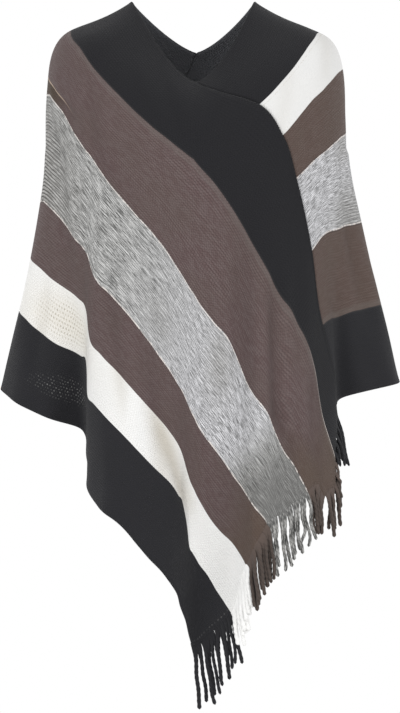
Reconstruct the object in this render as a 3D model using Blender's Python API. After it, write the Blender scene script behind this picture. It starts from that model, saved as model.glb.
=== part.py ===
"""Knitted poncho sweater, kept in its worn form with nobody in it.

Two equal striped rectangles make it. The left panel lies over the -X shoulder and the right
panel over the +X shoulder. Each has one short end sewn to the other's long inner edge, at the
front for the right panel and at the back for the left one, which leaves a V neck. The other
short end of each panel hangs free and carries a fringe of cut yarn, in six bunches, one for
each stripe.

The cloth follows one smooth form. An angle goes round the body, 0 at the front centre, 90 over
the right arm (+X), 180 at the back and -90 over the left arm. The distance down is measured
along the cloth from the neck edge. Units are metres and degrees, +Z is up and the front is -Y.
The origin lies inside the neck, midway between the shoulders that hold the garment up, at the
height where the cloth meets them.
"""

import math

import bpy
import numpy as np

# ---- cloth -----------------------------------------------------------------------------------

WALL = 0.0028  # thickness of the knitted cloth
ROUGHNESS = 0.92
SHARP_ANGLE = 50.0  # creases sharper than this are shaded as edges
SEAM_GAP = 0.0003  # clear space left between two pieces that are sewn together
NECK_COLUMNS = 28  # mesh columns along the neck edge of a panel

# One row for each stripe of the left panel, from its inner edge out: yarn, width, and the mesh
# rows that the stripe takes. The right panel is the same piece turned round.
STRIPE_COLUMNS = ("name", "width", "rows")
STRIPES = (
    ("black_inner", 0.108, 3),
    ("brown_wide", 0.120, 4),
    ("grey", 0.132, 4),
    ("brown_narrow", 0.075, 2),
    ("white", 0.066, 2),
    ("black_outer", 0.114, 3),
)

# ---- neck and chest rings --------------------------------------------------------------------

NECK_HALF_WIDTH = 0.0928
NECK_LEAN = -0.0043  # how far both neck corners lie towards the left shoulder
NECK_FRONT_DEPTH = 0.095
NECK_BACK_DEPTH = 0.080
NECK_TOP = 0.0505  # height of the neck edge on the shoulders
NECK_FRONT_LOW = -0.0795  # height of the V at the front
NECK_BACK_LOW = -0.0185  # height of the V at the back
NECK_FRONT_POWER = 1.6  # how the V rises to the shoulders: 1 is straight, 2 is round
NECK_BACK_POWER = 1.35

CHEST_LEVEL = -0.17
CHEST_HALF_WIDTH = 0.2272
CHEST_FRONT_DEPTH = 0.142
CHEST_BACK_DEPTH = 0.125
CHEST_POWER = 2.5  # 2 is an ellipse, more is squarer

SHOULDER_SLOPE = 34.5  # fall of the cloth where it leaves the neck
SHOULDER_REACH = (0.62, 0.18)  # share of the run before the cloth turns down: all round, more at the arms
SHOULDER_TURN = (0.52, 0.50)  # share of the drop in which it turns: all round, more at the arms

LOWEST_LEVEL = -1.12  # the form is worked out down to here
SHOULDER_STEPS = 30
SKIRT_STEPS = 60

# ---- the skirt's folds -----------------------------------------------------------------------

# One row for each crest, flank and trough round the body. The cloth hangs straight down from
# chest_x on the chest ring to the level "starts". It then swings out or in, and passes hem_x,
# hem_y at the level "full".
SECTION_COLUMNS = ("angle", "chest_x", "hem_x", "hem_y", "starts", "full")
SECTIONS = (
    (-180, 0.004, 0.012, 0.182, -0.25, -0.60),
    (-171, -0.032, -0.020, 0.166, -0.25, -0.60),
    (-162, -0.063, -0.051, 0.150, -0.25, -0.60),
    (-153, -0.093, -0.082, 0.156, -0.25, -0.60),
    (-144, -0.122, -0.113, 0.167, -0.25, -0.60),
    (-134, -0.150, -0.148, 0.142, -0.20, -0.55),
    (-126, -0.168, -0.162, 0.098, -0.20, -0.55),
    (-118, -0.185, -0.188, 0.068, -0.17, -0.55),
    (-110, -0.203, -0.235, 0.072, -0.17, -0.55),
    (-100, -0.220, -0.281, 0.045, -0.17, -0.55),
    (-90, -0.2272, -0.2965, 0.000, -0.16, -0.55),
    (-81, -0.222, -0.274, -0.042, -0.17, -0.55),
    (-73, -0.208, -0.222, -0.058, -0.20, -0.55),
    (-66, -0.184, -0.174, -0.048, -0.27, -0.56),
    (-60, -0.168, -0.162, -0.066, -0.29, -0.57),
    (-52, -0.157, -0.159, -0.116, -0.29, -0.57),
    (-43, -0.136, -0.137, -0.150, -0.27, -0.57),
    (-31, -0.095, -0.093, -0.164, -0.20, -0.57),
    (-18, -0.048, -0.044, -0.161, -0.30, -0.70),
    (-10, -0.028, -0.024, -0.150, -0.42, -0.77),
    (-4, -0.013, -0.011, -0.134, -0.46, -0.78),
    (3, 0.005, 0.005, -0.127, -0.47, -0.78),
    (10, 0.025, 0.026, -0.133, -0.46, -0.78),
    (18, 0.052, 0.054, -0.152, -0.38, -0.74),
    (28, 0.088, 0.089, -0.171, -0.20, -0.57),
    (40, 0.130, 0.133, -0.156, -0.20, -0.57),
    (52, 0.170, 0.180, -0.122, -0.20, -0.57),
    (60, 0.190, 0.207, -0.085, -0.25, -0.57),
    (66, 0.200, 0.211, -0.057, -0.25, -0.57),
    (71, 0.207, 0.220, -0.045, -0.25, -0.57),
    (77, 0.215, 0.248, -0.048, -0.20, -0.55),
    (84, 0.225, 0.297, -0.032, -0.13, -0.55),
    (90, 0.2272, 0.313, 0.000, -0.13, -0.55),
    (100, 0.220, 0.288, 0.052, -0.13, -0.55),
    (109, 0.206, 0.236, 0.066, -0.17, -0.55),
    (117, 0.190, 0.202, 0.082, -0.20, -0.55),
    (126, 0.172, 0.186, 0.128, -0.20, -0.55),
    (136, 0.148, 0.158, 0.166, -0.20, -0.55),
    (146, 0.122, 0.124, 0.158, -0.30, -0.60),
    (153, 0.102, 0.103, 0.142, -0.30, -0.60),
    (161, 0.076, 0.080, 0.146, -0.30, -0.60),
    (170, 0.044, 0.050, 0.172, -0.25, -0.60),
)

# How far the swing has gone on the way from "starts" (0) to "full" (1) and on below it.
SWING_COLUMNS = ("way", "swing")
SWING = (
    (0.0, 0.0),
    (0.15, 0.06),
    (0.30, 0.19),
    (0.50, 0.40),
    (0.75, 0.70),
    (1.0, 1.0),
    (1.5, 1.40),
    (2.3, 1.70),
    (5.0, 1.90),
)

# ---- how the panels lie on the form ----------------------------------------------------------

# "reach" is the distance down the form from a panel's inner edge to its outer edge, and "ease"
# says how much closer than even its lines lie near the inner edge.
DRAPE_COLUMNS = ("angle", "reach", "ease")
LEFT_DRAPE = (
    (-180, 0.80, 0.10),
    (-160, 0.74, 0.28),
    (-140, 0.68, 0.28),
    (-126, 0.655, 0.28),
    (-105, 0.65, 0.25),
    (-90, 0.662, 0.25),
    (-75, 0.679, 0.25),
    (-62, 0.697, 0.27),
    (-55, 0.728, 0.31),
    (-45, 0.742, 0.29),
    (-35, 0.745, 0.26),
    (-25, 0.762, 0.23),
    (-15, 0.781, 0.18),
    (-8, 0.804, 0.10),
    (0, 0.864, 0.04),
    (10, 0.915, 0.02),
    (20, 0.96, -0.15),
    (30, 1.02, -0.40),
    (39, 1.08, -0.38),
    (47, 1.10, -0.05),
    (54, 1.03, 0.12),
    (62, 0.96, 0.05),
    (80, 0.96, 0.00),
)
RIGHT_DRAPE = (
    (0, 0.66, 0.22),
    (30, 0.655, 0.19),
    (45, 0.655, 0.15),
    (54, 0.655, 0.22),
    (62, 0.655, 0.26),
    (75, 0.658, 0.25),
    (90, 0.660, 0.25),
    (105, 0.650, 0.22),
    (120, 0.655, 0.26),
    (135, 0.70, 0.34),
    (148, 0.75, 0.36),
    (160, 0.80, 0.32),
    (172, 0.825, 0.20),
    (182, 0.822, 0.08),
    (190, 0.825, -0.10),
    (200, 0.825, -0.25),
    (212, 0.81, -0.20),
    (222, 0.80, 0.00),
    (232, 0.76, 0.15),
    (250, 0.72, 0.20),
)

# Where a seam or a free end lies: the share of the way across the panel that ends there, and
# the angle round the body.
END_COLUMNS = ("across", "angle")
FRONT_SEAM = (
    (0.0, 0),
    (0.10, 18),
    (0.185, 30.5),
    (0.293, 39.5),
    (0.415, 45),
    (0.629, 51.5),
    (0.824, 58.0),
    (1.0, 66),
)
BACK_SEAM = (
    (0.0, -180),
    (0.10, -171),
    (0.185, -164),
    (0.293, -156.5),
    (0.415, -150),
    (0.629, -141),
    (0.824, -133.5),
    (1.0, -127),
)
FRONT_END = (
    (0.0, 66),
    (0.176, 60),
    (0.371, 47),
    (0.585, 31),
    (0.707, 26),
    (0.815, 17),
    (1.0, -2.2),
)
BACK_END = (
    (0.0, 233),
    (0.185, 226),
    (0.371, 217),
    (0.585, 205),
    (0.707, 198),
    (0.815, 190),
    (1.0, 181),
)

# ---- fringe ----------------------------------------------------------------------------------

STRIP_GAP = 0.0005  # clear space between the free end and the strip that roots the strands
STRIP_WIDTH = 0.005
STRIP_THICKNESS = 0.0028
STRIP_CLEAR = 0.35  # share of the free end's first mesh row left bare beside the seam
STRAND_WIDTH = 0.0042
STRAND_PITCH = 0.0084  # from one strand to the next along the free end
STRAND_LENGTH = 0.084
STRAND_SPREAD = 0.010  # the longest is this much longer than the mean, the shortest as much shorter
STRAND_BEND = 0.026  # in this length a strand turns from the cloth's direction to straight down
STRAND_STEPS = (0.0, 0.10, 0.30, 0.62, 1.0)  # where a strand has its rings
STRAND_TAPER = 0.25  # share of its width that a strand has lost at the tip
STRAND_CLEAR = 0.0055  # least distance between two strands' middle lines at the same height
SPREAD_ROUNDS = 60
STAGGER = 0.0024  # neighbours hang this much in front of and behind the cloth's own plane
STAGGER_DONE = 0.33  # share of a strand's length by which it has reached that place
WAVE = 0.0050  # sideways sway of the tips, which neighbours share
WAVE_TURN = 0.55  # change of that sway from one strand to the next, in radians
WAVE_CURL = 3.0  # change of that sway from a strand's root to its tip, in radians
SEED = 7

COLOURS = {
    "black": (0.026, 0.026, 0.030),
    "brown": (0.118, 0.088, 0.076),
    "grey": (0.36, 0.36, 0.37),
    "white": (0.85, 0.84, 0.82),
}


def column(table_columns, name):
    """Place of a named column in a table's rows, without the leading one."""
    return table_columns.index(name) - 1


def through_rows(rows, x, period=None):
    """Smooth curve through a table's rows, read at x; with a period the rows go round."""
    rows = np.array(rows, float)
    knots = rows[:, 0]
    values = rows[:, 1:]
    x = np.asarray(x, float)
    if period:
        x = (x - knots[0]) % period + knots[0]
        knots = np.concatenate([knots[-2:] - period, knots, knots[:2] + period])
        values = np.concatenate([values[-2:], values, values[:2]])
    else:
        x = np.clip(x, knots[0], knots[-1])
    spans = np.diff(knots)[:, None]
    rises = np.diff(values, axis=0) / spans
    slopes = np.empty_like(values)
    slopes[0] = rises[0]
    slopes[-1] = rises[-1]
    slopes[1:-1] = (rises[:-1] * spans[1:] + rises[1:] * spans[:-1]) / (spans[1:] + spans[:-1])
    i = np.clip(np.searchsorted(knots, x, side="right") - 1, 0, len(knots) - 2)
    span = (knots[i + 1] - knots[i])[..., None]
    s = (x - knots[i])[..., None] / span
    start = (2 * s**3 - 3 * s**2 + 1) * values[i] + (s**3 - 2 * s**2 + s) * span * slopes[i]
    end = (3 * s**2 - 2 * s**3) * values[i + 1] + (s**3 - s**2) * span * slopes[i + 1]
    return start + end


def unit(vectors):
    return vectors / np.linalg.norm(vectors, axis=-1, keepdims=True)


def neck_ring(angle):
    """Neck edge: an ellipse in plan whose height rises from each V to the shoulders."""
    turn = np.radians(angle)
    side = np.sin(turn)
    ahead = np.cos(turn)
    front = ahead > 0
    depth = np.where(front, NECK_FRONT_DEPTH, NECK_BACK_DEPTH)
    low = np.where(front, NECK_FRONT_LOW, NECK_BACK_LOW)
    power = np.where(front, NECK_FRONT_POWER, NECK_BACK_POWER)
    height = low + (NECK_TOP - low) * np.abs(side) ** power
    across = NECK_HALF_WIDTH * side + NECK_LEAN * side**2
    return np.stack([across, -depth * ahead, height], -1)


def chest_ring(angle, x):
    """Chest ring: a squared ellipse, read at x, on the front or the back half."""
    x = np.clip(x, -CHEST_HALF_WIDTH, CHEST_HALF_WIDTH)
    share = (1 - np.abs(x / CHEST_HALF_WIDTH) ** CHEST_POWER) ** (1 / CHEST_POWER)
    depth = np.where(np.cos(np.radians(angle)) > 0, -CHEST_FRONT_DEPTH, CHEST_BACK_DEPTH)
    return np.stack([x, depth * share, np.full_like(x, CHEST_LEVEL)], -1)


def lines_down(angle):
    """For each angle, the line that the form follows from the neck to the lowest level."""
    angle = np.asarray(angle, float)
    sections = through_rows(SECTIONS, angle, period=360.0)
    neck = neck_ring(angle)
    chest = chest_ring(angle, sections[:, column(SECTION_COLUMNS, "chest_x")])
    side = np.sin(np.radians(angle)) ** 2

    # over the shoulder: one cubic curve that leaves the neck on the shoulder slope and
    # arrives at the chest ring straight down
    run = chest[:, :2] - neck[:, :2]
    distance = np.linalg.norm(run, axis=1)
    drop = neck[:, 2] - chest[:, 2]
    reach = SHOULDER_REACH[0] + SHOULDER_REACH[1] * side
    fall = np.minimum(reach * distance * math.tan(math.radians(SHOULDER_SLOPE)), drop / 2)
    leave = neck + np.concatenate([run * reach[:, None], -fall[:, None]], 1)
    turn = drop * (SHOULDER_TURN[0] + SHOULDER_TURN[1] * side)
    arrive = chest + np.stack([0 * turn, 0 * turn, turn], 1)
    s = np.linspace(0, 1, SHOULDER_STEPS)[None, :, None]
    shoulder = (1 - s) ** 3 * neck[:, None] + 3 * (1 - s) ** 2 * s * leave[:, None]
    shoulder = shoulder + 3 * (1 - s) * s**2 * arrive[:, None] + s**3 * chest[:, None]

    # below the chest: straight down, then swinging to the section's place
    level = np.linspace(CHEST_LEVEL, LOWEST_LEVEL, SKIRT_STEPS + 1)[1:]
    starts = sections[:, column(SECTION_COLUMNS, "starts")][:, None]
    full = sections[:, column(SECTION_COLUMNS, "full")][:, None]
    swing = through_rows(SWING, (starts - level) / (starts - full))
    hem = sections[:, [column(SECTION_COLUMNS, "hem_x"), column(SECTION_COLUMNS, "hem_y")]]
    plan = chest[:, None, :2] + (hem - chest[:, :2])[:, None] * swing
    height = np.broadcast_to(level[None, :, None], plan.shape[:2] + (1,))
    return np.concatenate([shoulder, np.concatenate([plan, height], 2)], 1)


def form_point(angle, down):
    """Points of the form at an angle and a distance down from the neck edge."""
    angle, down = np.broadcast_arrays(np.asarray(angle, float), np.asarray(down, float))
    lines = lines_down(angle.ravel())
    steps = np.linalg.norm(np.diff(lines, axis=1), axis=2)
    travelled = np.concatenate([np.zeros((len(lines), 1)), np.cumsum(steps, 1)], 1)
    wanted = down.ravel()
    i = np.clip((travelled <= wanted[:, None]).sum(1) - 1, 0, lines.shape[1] - 2)
    n = np.arange(len(lines))
    s = (wanted - travelled[n, i]) / (travelled[n, i + 1] - travelled[n, i])
    points = lines[n, i] + (lines[n, i + 1] - lines[n, i]) * s[:, None]
    return points.reshape(angle.shape + (3,))


def form_normal(angle, down):
    """Outward direction of the form, from points a little to each side."""
    small_angle = 0.5
    small_step = 0.003
    across = form_point(angle + small_angle, down) - form_point(angle - small_angle, down)
    along = form_point(angle, down + small_step) - form_point(angle, down - small_step)
    return unit(np.cross(along, across))


def drape(rows, angle, across):
    """Distance from a panel's inner edge to its line at a share of the way across."""
    values = through_rows(rows, angle)
    reach = values[..., column(DRAPE_COLUMNS, "reach")]
    ease = values[..., column(DRAPE_COLUMNS, "ease")]
    return reach * across * (1 - ease * (1 - across) ** 2)


def end_angle(rows, across):
    return through_rows(rows, across)[..., column(END_COLUMNS, "angle")]


def share_at(rows, angle):
    """Share of the way across at which a seam passes an angle."""
    shares = np.linspace(0, 1, 801)
    return np.interp(angle, end_angle(rows, shares), shares)


def left_down(angle, across):
    """Distance down the form of the left panel; past the V its inner edge is the front seam."""
    seam = drape(RIGHT_DRAPE, angle, share_at(FRONT_SEAM, angle))
    return np.where(angle > 0, seam, 0.0) + drape(LEFT_DRAPE, angle, across)


def right_down(angle, across):
    """The same for the right panel, whose inner edge becomes the back seam past 180."""
    seam = drape(LEFT_DRAPE, angle - 360, share_at(BACK_SEAM, angle - 360))
    return np.where(angle > 180, seam, 0.0) + drape(RIGHT_DRAPE, angle, across)


def yarn_of(stripe):
    return stripe.split("_")[0]


def stripe_values(stripes, name):
    """One named column of the stripe table, in the order in which a panel has its stripes."""
    return [stripe[STRIPE_COLUMNS.index(name)] for stripe in stripes]


def row_places(stripes):
    """Shares of the way across a panel at its mesh rows, with a row on each stripe's border."""
    widths = stripe_values(stripes, "width")
    places = [0.0]
    for width, rows in zip(widths, stripe_values(stripes, "rows")):
        for _ in range(rows):
            places.append(places[-1] + width / sum(widths) / rows)
    return np.array(places)


PANELS = {
    "left": {
        "drape": LEFT_DRAPE,
        "down": left_down,
        "sewn_end": BACK_SEAM,
        "edge_seam": FRONT_SEAM,
        "seam_drape": RIGHT_DRAPE,
        "stripes": STRIPES,
        "turn": 0,
        "free_end": FRONT_END,
    },
    "right": {
        "drape": RIGHT_DRAPE,
        "down": right_down,
        "sewn_end": FRONT_SEAM,
        "edge_seam": BACK_SEAM,
        "seam_drape": LEFT_DRAPE,
        "stripes": STRIPES[::-1],
        "turn": 360,
        "free_end": BACK_END,
    },
}


def panel_grid(panel):
    """Angle and distance down for each mesh row (across) and column (along) of a panel."""
    across = row_places(panel["stripes"])
    seam_across = row_places(panel["stripes"][::-1])
    first = end_angle(panel["sewn_end"], across)
    last = end_angle(panel["free_end"], across)
    neck_end = first[0] + 180
    seam_angle = end_angle(panel["edge_seam"], seam_across) + panel["turn"]
    inner = np.concatenate([np.linspace(first[0], neck_end, NECK_COLUMNS + 1), seam_angle[1:]])
    inner_share = (inner - first[0]) / (last[0] - first[0])
    outer_share = np.linspace(0, 1, len(inner))
    share = (1 - across[:, None]) * inner_share + across[:, None] * outer_share
    angle = first[:, None] + (last - first)[:, None] * share
    down = panel["down"](angle, across[:, None])
    # along the seam both panels use the very same places
    angle[0, NECK_COLUMNS:] = seam_angle
    down[0, NECK_COLUMNS:] = drape(panel["seam_drape"], seam_angle - panel["turn"], seam_across)
    return angle, down


def seam_shift(points, normals):
    """Half the seam's gap, in the cloth's plane, square to the seam and towards the sewn end."""
    run = np.gradient(points, axis=0)
    return unit(np.cross(normals, run)) * SEAM_GAP / 2


def panel_surface(panel):
    """Middle points and outward directions of a panel, opened by half a gap at its seams."""
    angle, down = panel_grid(panel)
    points = form_point(angle, down)
    normals = form_normal(angle, down)
    points[:, 0] += seam_shift(points[:, 0], normals[:, 0])
    edge = slice(NECK_COLUMNS, None)
    points[0, edge] -= seam_shift(points[0, edge], normals[0, edge])
    return points, normals


def make_object(name, points, faces, materials):
    mesh = bpy.data.meshes.new(name)
    mesh.from_pydata([tuple(p) for p in points], [], [tuple(f) for f in faces])
    for material in materials:
        mesh.materials.append(material)
    mesh.shade_smooth()
    mesh.set_sharp_from_angle(angle=math.radians(SHARP_ANGLE))
    made = bpy.data.objects.new(name, mesh)
    bpy.context.collection.objects.link(made)
    return made


def make_material(name, colour):
    made = bpy.data.materials.new(name)
    made.use_nodes = True
    shader = made.node_tree.nodes["Principled BSDF"]
    shader.inputs["Base Color"].default_value = (*colour, 1.0)
    shader.inputs["Roughness"].default_value = ROUGHNESS
    shader.inputs["Metallic"].default_value = 0.0
    return made


def wall_faces(points):
    """Triangles of a closed wall over a grid, outer layer first, then the inner layer and rim.

    Each square is cut along its shorter diagonal, the same way on both layers. The rim's squares
    are cut so that the first row of one panel matches the first column of the other.
    """
    rows, columns = points.shape[:2]
    index = np.arange(rows * columns).reshape(rows, columns)
    inner = rows * columns
    a = index[:-1, :-1].ravel()
    b = index[1:, :-1].ravel()
    c = index[1:, 1:].ravel()
    d = index[:-1, 1:].ravel()
    flat = points.reshape(-1, 3)
    first = np.linalg.norm(flat[a] - flat[c], axis=1) <= np.linalg.norm(flat[b] - flat[d], axis=1)
    one = np.where(first[:, None], np.stack([a, b, c], 1), np.stack([a, b, d], 1))
    two = np.where(first[:, None], np.stack([a, c, d], 1), np.stack([b, c, d], 1))
    outer = np.concatenate([one, two])
    edge = np.concatenate([index[:-1, 0], index[-1, :-1], index[:0:-1, -1]])
    after = np.append(edge[1:], index[0, -1])
    back_edge = index[0, :0:-1]
    back_after = index[0, -2::-1]
    rim = [
        np.stack([after, edge, edge + inner], 1),
        np.stack([after, edge + inner, after + inner], 1),
        np.stack([back_after, back_edge, back_after + inner], 1),
        np.stack([back_edge, back_edge + inner, back_after + inner], 1),
    ]
    return np.concatenate([outer, outer[:, ::-1] + inner, *rim])


def build_panel(name, panel, materials):
    points, normals = panel_surface(panel)
    layers = [points + normals * WALL / 2, points - normals * WALL / 2]
    both = np.concatenate([layer.reshape(-1, 3) for layer in layers])
    faces = wall_faces(points)
    slots = list(materials)
    slot_of_row = [slots.index(yarn_of(stripe)) for stripe, _, rows in panel["stripes"] for _ in range(rows)]
    row_of_point = np.tile(np.arange(points.shape[0]).repeat(points.shape[1]), 2)
    row_of_face = np.minimum(row_of_point[faces].mean(1).astype(int), len(slot_of_row) - 1)
    made = make_object(name, both, faces, list(materials.values()))
    made.data.polygons.foreach_set("material_index", np.array(slot_of_row)[row_of_face])


def free_edge(panel):
    """Points, outward directions and directions past the end, along a panel's free end."""
    points, normals = panel_surface(panel)
    points = points[:, -1]
    normals = normals[:, -1]
    past = unit(np.cross(normals, np.gradient(points, axis=0)))
    return points, normals, past


def along_edge(edge, place):
    """The free end's point and directions at places counted in mesh rows, on its own chords."""
    i = np.clip(np.floor(place).astype(int), 0, len(edge[0]) - 2)
    s = (place - i)[:, None]
    point, normal, past = [values[i] * (1 - s) + values[i + 1] * s for values in edge]
    return point, unit(normal), unit(past)


def strip_cuts(edge, first_row, last_row):
    """Where a strip is cut across: at each mesh row, and at both sides of each strand."""
    steps = np.linalg.norm(np.diff(edge[0], axis=0), axis=1)
    cuts = []
    is_strand = []
    for row in range(first_row, last_row):
        start = STRIP_CLEAR if row == 0 else 0.0
        inset = SEAM_GAP / 2 / steps[row]
        left = start + (inset if row == first_row else 0.0)
        right = 1 - (inset if row == last_row - 1 else 0.0)
        count = max(1, round(steps[row] * (right - left) / STRAND_PITCH))
        half = STRAND_WIDTH / 2 / steps[row]
        middles = left + (right - left) * (np.arange(count) + 0.5) / count
        if row == first_row:
            cuts.append(row + left)
        for middle in middles:
            cuts += [row + middle - half, row + middle + half]
            is_strand += [False, True]
        cuts.append(row + right)
        is_strand.append(False)
    return np.array(cuts), is_strand


def strand_path(root, past, normal, number, length):
    """Middle line of a strand: it leaves the cloth, bends to hang down and sways a little."""
    steps = np.array(STRAND_STEPS) * length
    down = np.array([0.0, 0.0, -1.0])
    turned = np.clip((steps[:-1] + steps[1:]) / 2 / STRAND_BEND, 0, 1)
    turned = (turned**2 * (3 - 2 * turned))[:, None]
    moves = unit(past * (1 - turned) + down * turned) * np.diff(steps)[:, None]
    path = np.concatenate([[root], root + np.cumsum(moves, 0)])
    forward = unit(normal * np.array([1.0, 1.0, 0.0]))
    sideways = np.cross(down, forward)
    part = np.array(STRAND_STEPS)[:, None]
    stagger = STAGGER * (1 if number % 2 else -1) * np.minimum(part / STAGGER_DONE, 1)
    wave = WAVE * np.sin(number * WAVE_TURN + WAVE_CURL * part) * part
    return path + forward * stagger + sideways * wave


def ring_round(centre, heading, across, out, scale):
    """Four corners of a strand's section, square to its heading."""
    across = unit(across - heading * np.dot(across, heading))
    side = np.cross(across, heading)
    if np.dot(side, out) < 0:
        side = -side
    across = across * STRAND_WIDTH / 2 * scale
    side = side * STRIP_THICKNESS / 2 * scale
    return [centre + corner for corner in (side - across, -side - across, across - side, across + side)]


def spread_apart(paths):
    """Strands moved sideways, roots excepted, until each hangs clear of the others at every height."""
    for _ in range(SPREAD_ROUNDS):
        rings = paths[:, 1:]
        move = np.zeros_like(rings[..., :2])
        for i, other in enumerate(paths):
            falling = other[::-1]
            level = rings[..., 2]
            beside = np.stack([np.interp(level, falling[:, 2], falling[:, k]) for k in range(2)], -1)
            gap = rings[..., :2] - beside
            distance = np.linalg.norm(gap, axis=-1)
            near = (distance < STRAND_CLEAR) & (level > falling[0, 2]) & (level < falling[-1, 2])
            near[i] = False
            push = (STRAND_CLEAR - distance) / np.maximum(distance, STRAND_CLEAR / 10)
            move += np.where(near[..., None], gap * push[..., None] / 2, 0.0)
        rings[..., :2] += move
    return paths


def build_bunch(name, strip, out, is_strand, paths, material):
    """One stripe's fringe: the rooting strip, and the next strands of paths out of its far side."""
    points = list(strip.reshape(-1, 3))
    faces = [(0, 1, 2, 3)]
    for i, rooted in enumerate(is_strand):
        here = 4 * i
        there = here + 4
        for k in range(4):
            if not (rooted and k == 1):
                faces.append((here + k, there + k, there + (k + 1) % 4, here + (k + 1) % 4))
        if not rooted:
            continue
        before = [here + 1, here + 2, there + 2, there + 1]
        across = strip[i + 1, 1] - strip[i, 1]
        path = next(paths)
        for step in range(1, len(path)):
            heading = unit(path[step] - path[step - 1])
            scale = 1 - STRAND_TAPER * STRAND_STEPS[step]
            ids = list(range(len(points), len(points) + 4))
            points += ring_round(path[step], heading, across, out[i], scale)
            for k in range(4):
                faces.append((before[k], ids[k], ids[(k + 1) % 4], before[(k + 1) % 4]))
            before = ids
        faces.append(tuple(reversed(before)))
    end = 4 * len(is_strand)
    faces.append((end + 3, end + 2, end + 1, end))
    make_object(name, points, faces, [material])


def build_fringe(side, panel, materials):
    edge = free_edge(panel)
    random = np.random.default_rng(SEED)
    bunches = []
    paths = []
    row = 0
    for stripe, _, rows in panel["stripes"]:
        cuts, is_strand = strip_cuts(edge, row, row + rows)
        point, normal, past = along_edge(edge, cuts)
        near = point + past * STRIP_GAP
        far = point + past * (STRIP_GAP + STRIP_WIDTH)
        lift = normal * STRIP_THICKNESS / 2
        strip = np.stack([near + lift, far + lift, far - lift, near - lift], 1)
        bunches.append((f"fringe_{side}_{stripe}", strip, normal, is_strand, yarn_of(stripe)))
        for i in np.flatnonzero(is_strand):
            root = (far[i] + far[i + 1]) / 2
            length = STRAND_LENGTH + STRAND_SPREAD * random.uniform(-1, 1)
            paths.append(strand_path(root, unit(past[i] + past[i + 1]), normal[i], len(paths), length))
        row += rows
    paths = iter(spread_apart(np.array(paths)))
    for name, strip, normal, is_strand, yarn in bunches:
        build_bunch(name, strip, normal, is_strand, paths, materials[yarn])


def main():
    for old in list(bpy.data.objects):
        bpy.data.objects.remove(old, do_unlink=True)
    materials = {name: make_material(f"{name}_yarn", colour) for name, colour in COLOURS.items()}
    build_panel("panel_left", PANELS["left"], materials)
    build_panel("panel_right", PANELS["right"], materials)
    build_fringe("front", PANELS["left"], materials)
    build_fringe("back", PANELS["right"], materials)


main()
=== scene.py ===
import math

import bpy
import numpy as np
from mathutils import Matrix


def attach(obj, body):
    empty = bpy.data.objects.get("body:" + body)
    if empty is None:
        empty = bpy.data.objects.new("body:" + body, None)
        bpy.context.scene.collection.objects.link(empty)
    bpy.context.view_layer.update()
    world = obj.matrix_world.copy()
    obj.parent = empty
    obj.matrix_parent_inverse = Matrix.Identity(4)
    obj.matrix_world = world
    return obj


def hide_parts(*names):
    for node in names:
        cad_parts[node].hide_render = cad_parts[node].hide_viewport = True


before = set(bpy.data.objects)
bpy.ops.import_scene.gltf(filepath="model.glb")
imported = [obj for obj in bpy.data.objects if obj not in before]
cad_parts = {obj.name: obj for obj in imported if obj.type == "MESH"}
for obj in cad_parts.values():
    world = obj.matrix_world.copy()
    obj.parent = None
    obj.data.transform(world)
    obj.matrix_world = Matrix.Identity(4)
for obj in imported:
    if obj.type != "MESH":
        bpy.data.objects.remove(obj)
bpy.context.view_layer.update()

# The camera first: straight at the front, far enough back for a nearly flat view.
view = {
    "place": (0.006, -4.55, -0.486),
    "longSide": 713,          # pixels
    "focalPixels": 3000,
    "sensor": 36.0,           # mm, along the picture's long side
}

cameraData = bpy.data.cameras.new("camera")
cameraData.sensor_width = view["sensor"]
cameraData.lens = view["sensor"] * view["focalPixels"] / view["longSide"]
camera = bpy.data.objects.new("camera", cameraData)
camera.location = view["place"]
camera.rotation_euler = (math.radians(90), 0, 0)
bpy.context.scene.collection.objects.link(camera)
bpy.context.scene.camera = camera
print("camera placed")

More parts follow.
